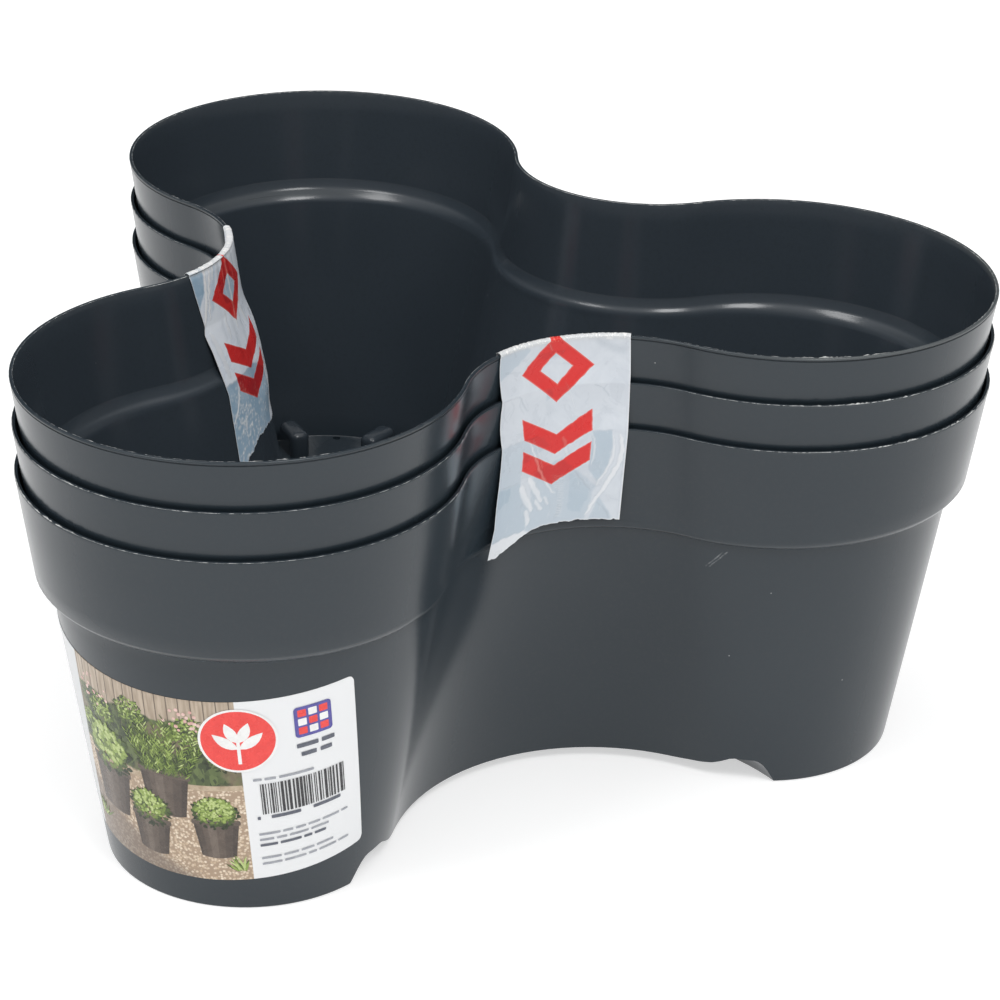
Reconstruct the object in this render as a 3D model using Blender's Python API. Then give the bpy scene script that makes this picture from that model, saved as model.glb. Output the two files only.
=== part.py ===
"""Set of three trefoil plant pots nested in one another, with two film tapes over the top rim
and a paper label on the lowest pot.

Metres, +Z up. The origin is on the ground plane, under the middle of the set's bounding box.
The three-fold axis of the pots stands a little behind it, at y = AXIS_Y.
Each pot is a thin moulded tub: a tapered body, a rounded step outwards, and a tapered band up to
the rim. Its outline at any height is three lobes joined by three concave waists. The underside has
a channel that sits over the rim of another pot turned by 60 degrees, and the floor follows it.
"""

import math

import bmesh
import bpy
from mathutils import Vector

# ---------------------------------------------------------------- outline at the rim
LOBE_DISTANCE = 0.12226      # axis to the centre of each lobe, at the rim
LOBE_RADIUS = 0.07774        # radius of a lobe at the rim, outside
WAIST_RADIUS = 0.05159       # radius of the concave waists at the rim, outside
LOBE_DISTANCE_STEP = 0.11934  # axis to lobe centre at the step
LOBE_DISTANCE_FOOT = 0.12153  # axis to lobe centre at the foot
LOBE_DIRECTIONS = (-90.0, 30.0, 150.0)
LOBE_SEGMENTS = 22
WAIST_SEGMENTS = 12

# ---------------------------------------------------------------- profile of a pot
POT_HEIGHT = 0.14954         # foot to rim
NEST_PITCH = 0.01774         # how far each nested pot stands above the one it sits in
STEP_HEIGHT = 0.10689        # crease where the band meets the body
STEP_ROUNDING = 0.00510      # radius under the band
BAND_INSET = 0.00508         # how far the band has tapered in where the rounding starts
BODY_INSET = 0.00827         # inset of the body just below the step
FOOT_INSET = 0.02586         # inset of the body at the foot
WALL = 0.0016                # wall thickness
FLOOR = 0.0020               # floor thickness

# ---------------------------------------------------------------- underside channel
# distances outwards from the rim outline of the pot below, and heights above the foot
CHANNEL = ((0.0100, 0.0), (0.0062, 0.0062), (0.0028, 0.0096), (-0.0031, 0.0098),
           (-0.0052, 0.0072), (-0.0085, 0.0046))
CHANNEL_CROWN = 3            # how many rows of it lie on the side away from the middle
CENTRE_LIFT = 0.0042         # the middle of the underside stands this much above the feet
CENTRE_START = -0.0115       # where the middle's flat part starts, as for the channel

# ---------------------------------------------------------------- blocks and drain holes
BLOCK_TURNS = (-60.0, 0.0, 60.0)   # directions from a lobe's centre
BLOCK_WIDTH = 0.0060
BLOCK_INNER = 0.0280
BLOCK_OUTER = 0.0440
BLOCK_TOP = 0.0116
HOLE_TURNS = (-28.0, 28.0)
HOLE_RADIUS = 0.0022
HOLE_PLACE = 0.0470          # lobe centre to hole centre

# ---------------------------------------------------------------- tapes
TAPE_WIDTH = 0.0508
TAPE_THICKNESS = 0.0003
TAPE_GAP = 0.0003            # between a tape and what it lies on
TAPE_COLUMNS = 8
FRONT_TAPE_WAIST = -30.0     # direction of the waist that carries it
FRONT_TAPE_SHIFT = 0.0024    # sideways from the middle of the waist
FRONT_TAPE_OUTER_LEG = 0.0710
FRONT_TAPE_INNER_LEG = 0.0700
LEFT_TAPE_WAIST = 210.0
LEFT_TAPE_SHIFT = 0.0070
LEFT_TAPE_OUTER_LEG = 0.0720
LEFT_TAPE_INNER_LEG = 0.0640
TORN_DROP = 0.0058           # how much further the torn corner reaches

# ---------------------------------------------------------------- label
LABEL_WIDTH = 0.1436
LABEL_HEIGHT = 0.0786
LABEL_CENTRE = 8.07          # degrees round the lobe from its tip
LABEL_FOOT = 0.0121          # height of the middle of its lower edge
LABEL_CORNER = 0.0050
LABEL_THICKNESS = 0.00025
LABEL_GAP = 0.0003
LABEL_COLUMNS = 20


def clear_scene():
    for old in list(bpy.data.objects):
        bpy.data.objects.remove(old, do_unlink=True)


def collection(name):
    made = bpy.data.collections.new(name)
    bpy.context.scene.collection.children.link(made)
    return made


def material(name, colour, roughness, metallic=0.0, alpha=1.0):
    made = bpy.data.materials.new(name)
    made.use_nodes = True
    shader = made.node_tree.nodes["Principled BSDF"]
    shader.inputs["Base Color"].default_value = (*colour, 1.0)
    shader.inputs["Roughness"].default_value = roughness
    shader.inputs["Metallic"].default_value = metallic
    shader.inputs["Alpha"].default_value = alpha
    return made


# ---------------------------------------------------------------- the outline
def waist_distance(lobe_distance):
    """Distance from the axis to the centre of a waist's arc. The arcs stay tangent at every
    inset, because an inset takes as much from the lobe's radius as it adds to the waist's."""
    reach = 2.0 * (LOBE_RADIUS + WAIST_RADIUS)
    return (lobe_distance + math.sqrt(reach * reach - 3.0 * lobe_distance * lobe_distance)) / 2.0


def lobe_half_angle(lobe_distance):
    e = waist_distance(lobe_distance)
    return math.atan2(e * math.sin(math.pi / 3), e * math.cos(math.pi / 3) - lobe_distance)


def outline(lobe_distance, inset, turn=0.0):
    """Points of the trefoil outline, counterclockwise. inset is how far inside the rim's outer
    outline it lies, and turn turns it about the axis, in degrees."""
    e = waist_distance(lobe_distance)
    half = lobe_half_angle(lobe_distance)
    arc = math.radians(240.0) - half          # where a waist's arc meets the lobe before it
    points = []
    for direction in LOBE_DIRECTIONS:
        a = math.radians(direction + turn)
        for i in range(LOBE_SEGMENTS + 1):
            t = a - half + 2.0 * half * i / LOBE_SEGMENTS
            r = LOBE_RADIUS - inset
            points.append((lobe_distance * math.cos(a) + r * math.cos(t),
                           lobe_distance * math.sin(a) + r * math.sin(t)))
        b = a + math.pi / 3
        start = math.atan2(-lobe_distance * math.sin(math.pi / 3),
                           lobe_distance * math.cos(math.pi / 3) - e) % (2.0 * math.pi)
        for i in range(1, WAIST_SEGMENTS):
            t = b + start + (2.0 * math.pi - 2.0 * start) * i / WAIST_SEGMENTS
            r = WAIST_RADIUS + inset
            points.append((e * math.cos(b) + r * math.cos(t), e * math.sin(b) + r * math.sin(t)))
    return points


def axis_y():
    """Where the three-fold axis stands, so that the outline's bounding box is centred on y = 0."""
    ys = [y for _, y in outline(LOBE_DISTANCE, 0.0)]
    return -(max(ys) + min(ys)) / 2.0


def lobe_distance_at(z):
    if z >= STEP_HEIGHT + STEP_ROUNDING:
        return LOBE_DISTANCE
    if z >= STEP_HEIGHT:
        return LOBE_DISTANCE_STEP + (LOBE_DISTANCE - LOBE_DISTANCE_STEP) * (z - STEP_HEIGHT) / STEP_ROUNDING
    return LOBE_DISTANCE_FOOT + (LOBE_DISTANCE_STEP - LOBE_DISTANCE_FOOT) * z / STEP_HEIGHT


def body_inset(z):
    return FOOT_INSET + (BODY_INSET - FOOT_INSET) * z / STEP_HEIGHT


def band_inset(z):
    low = STEP_HEIGHT + STEP_ROUNDING
    return BAND_INSET * (POT_HEIGHT - z) / (POT_HEIGHT - low)


def outer_profile():
    """(inset, height) of the outside, from foot to rim."""
    centre = BAND_INSET + STEP_ROUNDING
    steepest = math.acos(1.0 - (BODY_INSET - BAND_INSET) / STEP_ROUNDING)
    points = [(FOOT_INSET, 0.0)]
    for share in (1.0, 0.72, 0.42, 0.0):
        q = steepest * share
        points.append((centre - STEP_ROUNDING * math.cos(q),
                       STEP_HEIGHT + STEP_ROUNDING * (1.0 - math.sin(q))))
    points.append((0.0, POT_HEIGHT))
    return points


def inner_profile(bottom, top):
    """(inset, height, lobe distance) of the inside, from bottom up to top, which may be above the
    rim. Each point lies one wall thickness inside the point of the outside that faces it."""
    centre = BAND_INSET + STEP_ROUNDING
    radius = STEP_ROUNDING - WALL
    steepest = math.acos(1.0 - (BODY_INSET - BAND_INSET) / STEP_ROUNDING)
    crease = STEP_HEIGHT + STEP_ROUNDING * (1.0 - math.sin(steepest))
    wall_foot = BODY_INSET + WALL
    corner = math.acos((centre - wall_foot) / radius)
    points = [(body_inset(bottom) + WALL, bottom, lobe_distance_at(bottom)),
              (wall_foot, STEP_HEIGHT + STEP_ROUNDING - radius * math.sin(corner), lobe_distance_at(crease))]
    for share in (0.8, 0.45, 0.0):
        q = corner * share
        outside = STEP_HEIGHT + STEP_ROUNDING * (1.0 - math.sin(min(q, steepest)))
        points.append((centre - radius * math.cos(q),
                       STEP_HEIGHT + STEP_ROUNDING - radius * math.sin(q), lobe_distance_at(outside)))
    points.append((WALL + band_inset(top), top, LOBE_DISTANCE))
    return points


def along(profile, z):
    """Inset and lobe distance at height z of a profile of (inset, height, lobe distance)."""
    for (i0, z0, d0), (i1, z1, d1) in zip(profile, profile[1:]):
        if z <= z1 or (i1, z1, d1) == profile[-1]:
            s = (z - z0) / (z1 - z0)
            return i0 + (i1 - i0) * s, d0 + (d1 - d0) * s
    return profile[-1][0], profile[-1][2]


# ---------------------------------------------------------------- mesh helpers
def loft(name, rings, place):
    """A closed solid through rings of equal length, lowest first, each counterclockwise."""
    bm = bmesh.new()
    made = [[bm.verts.new(p) for p in ring] for ring in rings]
    count = len(made[0])
    for low, high in zip(made, made[1:]):
        for i in range(count):
            j = (i + 1) % count
            bm.faces.new((low[i], low[j], high[j], high[i]))
    bm.faces.new(list(reversed(made[0])))
    bm.faces.new(made[-1])
    bm.normal_update()
    mesh = bpy.data.meshes.new(name)
    bm.to_mesh(mesh)
    bm.free()
    obj = bpy.data.objects.new(name, mesh)
    place.objects.link(obj)
    return obj


def ring(lobe_distance, inset, z, turn=0.0):
    return [Vector((x, y, z)) for x, y in outline(lobe_distance, inset, turn)]


def as_cutter(obj):
    obj.hide_render = True
    obj.display_type = "WIRE"
    return obj


def cut(obj, cutter, operation="DIFFERENCE"):
    modifier = obj.modifiers.new("cut_" + cutter.name, "BOOLEAN")
    modifier.operation = operation
    modifier.solver = "EXACT"
    modifier.object = cutter
    return modifier


def box(name, low, high, direction, centre, place):
    """A box given by its corners in a frame whose +X points along direction from centre."""
    bm = bmesh.new()
    bmesh.ops.create_cube(bm, size=1.0)
    a = math.radians(direction)
    for v in bm.verts:
        x = low[0] + (v.co.x + 0.5) * (high[0] - low[0])
        y = low[1] + (v.co.y + 0.5) * (high[1] - low[1])
        z = low[2] + (v.co.z + 0.5) * (high[2] - low[2])
        v.co = Vector((centre[0] + x * math.cos(a) - y * math.sin(a),
                       centre[1] + x * math.sin(a) + y * math.cos(a), z))
    mesh = bpy.data.meshes.new(name)
    bm.to_mesh(mesh)
    bm.free()
    obj = bpy.data.objects.new(name, mesh)
    place.objects.link(obj)
    return obj


def joined(name, objects, place):
    """Separate solids that don't touch, as one cutter."""
    bm = bmesh.new()
    for o in objects:
        bm.from_mesh(o.data)
    mesh = bpy.data.meshes.new(name)
    bm.to_mesh(mesh)
    bm.free()
    for o in objects:
        bpy.data.objects.remove(o, do_unlink=True)
    obj = bpy.data.objects.new(name, mesh)
    place.objects.link(obj)
    return obj


def evaluated_mesh(obj, name):
    """The object's mesh with its cuts made, as a mesh of its own."""
    graph = bpy.context.evaluated_depsgraph_get()
    mesh = bpy.data.meshes.new_from_object(obj.evaluated_get(graph), depsgraph=graph)
    mesh.name = name
    return mesh


# ---------------------------------------------------------------- one pot
def lobe_centres():
    for direction in LOBE_DIRECTIONS:
        a = math.radians(direction)
        yield direction, (LOBE_DISTANCE_FOOT * math.cos(a), LOBE_DISTANCE_FOOT * math.sin(a))


def channel_solid(name, grow, lift, low, place):
    """The space under the floor: inside the rim of a pot turned by 60 degrees, and over that rim.
    grow widens it and lift raises it, which gives the floor's upper side."""
    rings = [ring(LOBE_DISTANCE, -(CHANNEL[0][0] + grow), low, 60.0)]
    for i, (u, z) in enumerate(CHANNEL):
        side = grow if i < CHANNEL_CROWN else (-grow if z > 0.009 else -0.6 * grow)
        rings.append(ring(LOBE_DISTANCE, -(u + side), z + lift, 60.0))
    rings.append(ring(LOBE_DISTANCE, -(CENTRE_START - 0.5 * grow), CENTRE_LIFT + lift, 60.0))
    return loft(name, rings, place)


def pot_mesh(cutters):
    outside = loft("pot_outside", [ring(lobe_distance_at(z), inset, z) for inset, z in outer_profile()], cutters)
    inside = loft("pot_inside", [ring(d, inset, z) for inset, z, d in inner_profile(FLOOR, POT_HEIGHT + 0.01)], cutters)

    raised = channel_solid("raised_floor", 0.0018, FLOOR, -0.004, cutters)
    blocks, pockets, holes = [], [], []
    for direction, centre in lobe_centres():
        for turn in BLOCK_TURNS:
            w = BLOCK_WIDTH / 2
            blocks.append(box("block", (BLOCK_INNER, -w, -0.003), (BLOCK_OUTER, w, BLOCK_TOP), direction + turn, centre, cutters))
            pockets.append(box("pocket", (BLOCK_INNER + 0.0016, -w + 0.0015, -0.005), (BLOCK_OUTER - 0.0016, w - 0.0015, BLOCK_TOP - 0.0018), direction + turn, centre, cutters))
        for turn in HOLE_TURNS:
            a = math.radians(direction + turn)
            bm = bmesh.new()
            bmesh.ops.create_cone(bm, cap_ends=True, segments=12, radius1=HOLE_RADIUS, radius2=HOLE_RADIUS, depth=0.02)
            for v in bm.verts:
                v.co += Vector((centre[0] + HOLE_PLACE * math.cos(a), centre[1] + HOLE_PLACE * math.sin(a), 0.0))
            mesh = bpy.data.meshes.new("drain_hole")
            bm.to_mesh(mesh)
            bm.free()
            hole = bpy.data.objects.new("drain_hole", mesh)
            cutters.objects.link(hole)
            holes.append(hole)
    blocks = as_cutter(joined("floor_blocks", blocks, cutters))
    pockets = as_cutter(joined("block_pockets", pockets, cutters))
    holes = as_cutter(joined("drain_holes", holes, cutters))
    under = as_cutter(channel_solid("underside_channel", 0.0, 0.0, -0.006, cutters))
    as_cutter(raised)
    cut(inside, raised)
    cut(inside, blocks)
    as_cutter(inside)
    cut(outside, under)
    cut(outside, inside)
    cut(outside, pockets)
    cut(outside, holes)
    bpy.context.view_layer.update()
    mesh = evaluated_mesh(outside, "pot")
    bm = bmesh.new()
    bm.from_mesh(mesh)
    bmesh.ops.remove_doubles(bm, verts=bm.verts, dist=0.00002)
    bmesh.ops.dissolve_degenerate(bm, edges=bm.edges, dist=0.00001)
    bmesh.ops.triangulate(bm, faces=bm.faces)
    bm.to_mesh(mesh)
    bm.free()
    bpy.data.objects.remove(outside, do_unlink=True)
    mesh.materials.clear()
    mesh.shade_smooth()
    mesh.set_sharp_from_angle(angle=math.radians(32))
    return mesh


# ---------------------------------------------------------------- sheets that lie on a pot
def waist_point(direction, lobe_distance, inset, sideways, z):
    """A point on the waist in that direction, sideways along its arc from the middle."""
    e = waist_distance(lobe_distance)
    a = math.radians(direction)
    r = WAIST_RADIUS + inset
    t = a + math.pi - sideways / r
    return Vector((e * math.cos(a) + r * math.cos(t), e * math.sin(a) + r * math.sin(t), z))


def sheet_solid(name, front, back, place):
    """A thin closed solid between two grids of points, front facing the viewer."""
    bm = bmesh.new()
    f = [[bm.verts.new(p) for p in row] for row in front]
    b = [[bm.verts.new(p) for p in row] for row in back]
    rows, cols = len(f), len(f[0])
    for i in range(rows - 1):
        for j in range(cols - 1):
            bm.faces.new((f[i][j], f[i][j + 1], f[i + 1][j + 1], f[i + 1][j]))
            bm.faces.new((b[i][j], b[i + 1][j], b[i + 1][j + 1], b[i][j + 1]))
    for i in range(rows - 1):
        bm.faces.new((f[i][0], f[i + 1][0], b[i + 1][0], b[i][0]))
        bm.faces.new((f[i + 1][-1], f[i][-1], b[i][-1], b[i + 1][-1]))
    for j in range(cols - 1):
        bm.faces.new((f[0][j + 1], f[0][j], b[0][j], b[0][j + 1]))
        bm.faces.new((f[-1][j], f[-1][j + 1], b[-1][j + 1], b[-1][j]))
    bmesh.ops.recalc_face_normals(bm, faces=bm.faces)
    mesh = bpy.data.meshes.new(name)
    bm.to_mesh(mesh)
    bm.free()
    obj = bpy.data.objects.new(name, mesh)
    place.objects.link(obj)
    return obj


def tape(name, direction, shift, outer_leg, inner_leg, torn, place):
    """A strip folded over the rim of the top pot: a leg down the outside, clear of all three
    rims, and a leg down the inside that follows the band, the ledge and the body.
    torn is (outer, inner): the sideways sense, +1 or -1, of the corner that hangs lower."""
    base = 2.0 * NEST_PITCH
    rim = POT_HEIGHT
    inside = inner_profile(FLOOR, rim)
    wall = [p for p in inside if p[1] > inside[0][1] and p[1] < rim]
    wall.reverse()

    def path(side, sideways):
        """(inset, height, lobe distance) of one face of the strip: side 0 faces the pot."""
        k = TAPE_GAP + side * TAPE_THICKNESS
        share = sideways / TAPE_WIDTH + 0.5
        drop_out = TORN_DROP * max(0.0, 2.0 * (share if torn[0] > 0 else 1.0 - share) - 1.0)
        drop_in = TORN_DROP * 2.0 * (share if torn[1] > 0 else 1.0 - share)
        points = [(-k, z, LOBE_DISTANCE) for z in
                  (rim - outer_leg - drop_out, rim - 0.048, rim - 0.024, rim - 0.001)]
        points += [(-0.85 * k, rim + 0.75 * k, LOBE_DISTANCE), (WALL / 2, rim + k, LOBE_DISTANCE),
                   (WALL + 0.6 * k, rim + 0.75 * k, LOBE_DISTANCE)]
        for z in (rim - 0.0015, rim - 0.019):
            points.append((WALL + band_inset(z) + k, z, LOBE_DISTANCE))
        low = rim - inner_leg - drop_in
        for before, here, after in zip([inside[-1]] + wall, wall, wall[1:] + [inside[0]]):
            # square to the wall, in the plane of the profile, to the free side
            ux, uz = here[0] - before[0], here[1] - before[1]
            vx, vz = after[0] - here[0], after[1] - here[1]
            lu, lv = math.hypot(ux, uz), math.hypot(vx, vz)
            nx, nz = -(uz / lu + vz / lv), ux / lu + vx / lv
            n = math.hypot(nx, nz)
            nx, nz = nx / n, nz / n
            spread = k / max(0.5, (nx * -uz + nz * ux) / lu)
            points.append((here[0] + nx * spread, here[1] + nz * spread, here[2]))
        corner = wall[-1][1]
        for share_down in (0.12, 0.56, 1.0):
            z = corner - (corner - low) * share_down
            inset, d = along(inside, z)
            points.append((inset + k, z, d))
        return points

    grids = []
    for side in (1, 0):
        columns = []
        for j in range(TAPE_COLUMNS + 1):
            s = TAPE_WIDTH * (j / TAPE_COLUMNS - 0.5)
            columns.append([waist_point(direction, d, inset, s + shift, z + base)
                            for inset, z, d in path(side, s)])
        grids.append([list(row) for row in zip(*columns)])
    return sheet_solid(name, grids[0], grids[1], place)


def label(name, place):
    """A rectangular paper label with rounded corners, wrapped round the cone of a lobe."""
    slope = (FOOT_INSET - BODY_INSET) / STEP_HEIGHT
    tilt = math.atan(slope)
    foot_radius = LOBE_RADIUS - FOOT_INSET
    apex = foot_radius / math.sin(tilt)            # slant distance from the cone's point to the foot
    low = apex + LABEL_FOOT / math.cos(tilt)

    def on_pot(x, y, off):
        rho = math.hypot(low + y, x)
        turn = math.atan2(x, low + y) / math.sin(tilt)
        z = (rho - apex) * math.cos(tilt)
        a = math.radians(-90.0)
        t = a + math.radians(LABEL_CENTRE) + turn
        r = LOBE_RADIUS - body_inset(z) + off
        d = lobe_distance_at(z)
        return Vector((d * math.cos(a) + r * math.cos(t), d * math.sin(a) + r * math.sin(t), z))

    columns = []
    for j in range(LABEL_COLUMNS + 1):
        x = LABEL_WIDTH * (j / LABEL_COLUMNS - 0.5)
        edge = LABEL_WIDTH / 2 - abs(x)
        cut_in = 0.0
        if edge < LABEL_CORNER:
            cut_in = LABEL_CORNER - math.sqrt(max(0.0, LABEL_CORNER ** 2 - (LABEL_CORNER - edge) ** 2))
        columns.append([(x, cut_in + (LABEL_HEIGHT - 2 * cut_in) * i / 3) for i in range(4)])
    front = [[on_pot(x, y, LABEL_GAP + LABEL_THICKNESS) for x, y in row] for row in zip(*columns)]
    back = [[on_pot(x, y, LABEL_GAP) for x, y in row] for row in zip(*columns)]
    return sheet_solid(name, front, back, place)


def main():
    clear_scene()
    parts = collection("nested_trefoil_planters")
    cutters = collection("cutters")
    charcoal = material("charcoal_plastic", (0.075, 0.083, 0.093), 0.42)
    film = material("printed_film", (0.72, 0.76, 0.80), 0.30)
    paper = material("printed_label", (0.86, 0.86, 0.85), 0.35)

    mesh = pot_mesh(cutters)
    mesh.materials.append(charcoal)
    for i, name in enumerate(("pot_bottom", "pot_middle", "pot_top")):
        pot = bpy.data.objects.new(name, mesh)
        pot.location = (0.0, axis_y(), i * NEST_PITCH)
        parts.objects.link(pot)

    front = tape("tape_front", FRONT_TAPE_WAIST, FRONT_TAPE_SHIFT, FRONT_TAPE_OUTER_LEG, FRONT_TAPE_INNER_LEG, (-1, 1), parts)
    left = tape("tape_left", LEFT_TAPE_WAIST, LEFT_TAPE_SHIFT, LEFT_TAPE_OUTER_LEG, LEFT_TAPE_INNER_LEG, (1, 1), parts)
    for strip in (front, left):
        strip.location.y = axis_y()
        strip.data.materials.append(film)
        strip.data.shade_smooth()
        strip.data.set_sharp_from_angle(angle=math.radians(50))
    sticker = label("label", parts)
    sticker.location.y = axis_y()
    sticker.data.materials.append(paper)
    sticker.data.shade_smooth()
    sticker.data.set_sharp_from_angle(angle=math.radians(50))


main()
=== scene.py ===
"""Looks for the nested trefoil plant pots: fine moulded pots, film tapes and a printed label."""

import math
import random

import bmesh
import bpy
import numpy as np
from mathutils import Matrix, Vector, noise


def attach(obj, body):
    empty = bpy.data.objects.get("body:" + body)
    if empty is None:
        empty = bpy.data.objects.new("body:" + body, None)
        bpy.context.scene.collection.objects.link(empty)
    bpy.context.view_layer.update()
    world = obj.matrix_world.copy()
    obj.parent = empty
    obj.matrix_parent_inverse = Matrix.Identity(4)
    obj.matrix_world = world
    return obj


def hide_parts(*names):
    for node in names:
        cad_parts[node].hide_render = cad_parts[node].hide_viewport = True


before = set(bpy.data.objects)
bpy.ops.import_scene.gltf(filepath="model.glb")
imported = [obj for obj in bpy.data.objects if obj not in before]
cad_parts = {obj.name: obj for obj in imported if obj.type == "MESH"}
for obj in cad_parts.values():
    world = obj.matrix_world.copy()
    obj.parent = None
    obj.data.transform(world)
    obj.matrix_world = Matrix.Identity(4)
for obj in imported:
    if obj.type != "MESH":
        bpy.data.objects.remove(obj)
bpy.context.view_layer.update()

# ---------------------------------------------------------------- the pots' shape, in metres
AXIS_Y = 0.030608            # the three-fold axis stands at x = 0, y = AXIS_Y
D_RIM, R_LOBE, R_WAIST = 0.12226, 0.07774, 0.05159
D_STEP, D_FOOT = 0.119342, 0.121532
LOBES = (-90.0, 30.0, 150.0)
HEIGHT, PITCH = 0.149548, 0.017741
Z_STEP, Z_ROUND, R_ROUND = 0.106891, 0.111994, 0.005103
IN_BAND, IN_BODY, IN_FOOT = 0.005083, 0.008266, 0.025863
WALL, FLOOR = 0.0016, 0.0020
CENTRE_LIFT = 0.0042
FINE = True
LOBE_N, WAIST_N = (66, 28) if FINE else (40, 18)


def lerp(a, b, s):
    return a + (b - a) * s


def smooth(a, b, x):
    """0 at a and 1 at b, eased; a may be the larger."""
    s = min(1.0, max(0.0, (x - a) / (b - a)))
    return s * s * (3.0 - 2.0 * s)


def waist_distance(d):
    reach = 2.0 * (R_LOBE + R_WAIST)
    return (d + math.sqrt(reach * reach - 3.0 * d * d)) / 2.0


def lobe_half(d):
    e = waist_distance(d)
    return math.atan2(e * math.sin(math.pi / 3), e * math.cos(math.pi / 3) - d)


def outline(d, inset, turn=0.0, lobe_n=None, waist_n=None):
    """Points (x, y) of the trefoil about its own axis, counterclockwise."""
    lobe_n, waist_n = lobe_n or LOBE_N, waist_n or WAIST_N
    e, half = waist_distance(d), lobe_half(d)
    points = []
    for direction in LOBES:
        a = math.radians(direction + turn)
        r = R_LOBE - inset
        for i in range(lobe_n + 1):
            t = a - half + 2.0 * half * i / lobe_n
            points.append((d * math.cos(a) + r * math.cos(t), d * math.sin(a) + r * math.sin(t)))
        b = a + math.pi / 3
        start = math.atan2(-d * math.sin(math.pi / 3), d * math.cos(math.pi / 3) - e) % (2.0 * math.pi)
        r = R_WAIST + inset
        for i in range(1, waist_n):
            t = b + start + (2.0 * math.pi - 2.0 * start) * i / waist_n
            points.append((e * math.cos(b) + r * math.cos(t), e * math.sin(b) + r * math.sin(t)))
    return points


def d_at(z):
    if z >= Z_ROUND:
        return D_RIM
    if z >= Z_STEP:
        return lerp(D_STEP, D_RIM, (z - Z_STEP) / (Z_ROUND - Z_STEP))
    return lerp(D_FOOT, D_STEP, z / Z_STEP)


def body_inset(z):
    return lerp(IN_FOOT, IN_BODY, z / Z_STEP)


def band_inset(z):
    return IN_BAND * (HEIGHT - z) / (HEIGHT - Z_ROUND)


STEEP = math.acos(1.0 - (IN_BODY - IN_BAND) / R_ROUND)
Z_CREASE = Z_STEP + R_ROUND * (1.0 - math.sin(STEEP))


def outer_profile(top):
    """(inset, height, lobe distance) from the foot up to the lip's outer edge. The top pot's lip
    has a small bead with a groove under it, left by its mould."""
    points = [(IN_FOOT + 0.0003, 0.0, D_FOOT), (IN_FOOT + 0.0000, 0.0002, D_FOOT),
              (body_inset(0.0009), 0.0009, d_at(0.0009))]
    for z in (0.006, 0.012, 0.03, 0.05, 0.07, 0.09, 0.102, Z_CREASE - 0.0012):
        points.append((body_inset(z), z, d_at(z)))
    for i in range(9):
        q = STEEP * (1.0 - i / 8.0)
        z = Z_STEP + R_ROUND * (1.0 - math.sin(q))
        points.append((IN_BAND + R_ROUND * (1.0 - math.cos(q)), z, d_at(z)))
    for z in (0.118, 0.128, 0.139, 0.1468):
        points.append((band_inset(z), z, D_RIM))
    if top:
        points += [(0.00020, HEIGHT - 0.00150, D_RIM), (0.00042, HEIGHT - 0.00135, D_RIM), (0.00042, HEIGHT - 0.00110, D_RIM),
                   (0.00010, HEIGHT - 0.00090, D_RIM)]
    else:
        points += [(0.00008, HEIGHT - 0.00110, D_RIM)]
    # the lip's outer edge is a small quarter round
    for i in range(5):
        q = math.pi / 2.0 * i / 4.0
        points.append((0.00042 * (1.0 - math.cos(q)), HEIGHT - 0.00042 * (1.0 - math.sin(q)), D_RIM))
    return points


LEDGE_HIGH = 0.1127          # where the inside of the band meets the ledge, with a fine crease
FLOOR_ROUND = 0.0005         # the hollow between floor and wall


def ledge(high, inset, arcs):
    """The ledge's S below its crease: (inset, height). Each arc is a radius, the tilts from upright
    (degrees) it starts and ends at, and its steps; it is hollow while the tilt grows, else a nose."""
    line = [(inset, high)]
    for radius, first, last, steps in arcs:
        x0, z0 = line[-1]
        a, way = math.radians(first), 1.0 if last > first else -1.0
        for i in range(1, steps + 1):
            q = math.radians(lerp(first, last, i / steps))
            line.append((x0 + way * radius * (math.cos(a) - math.cos(q)), z0 - way * radius * (math.sin(q) - math.sin(a))))
    return line


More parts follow.
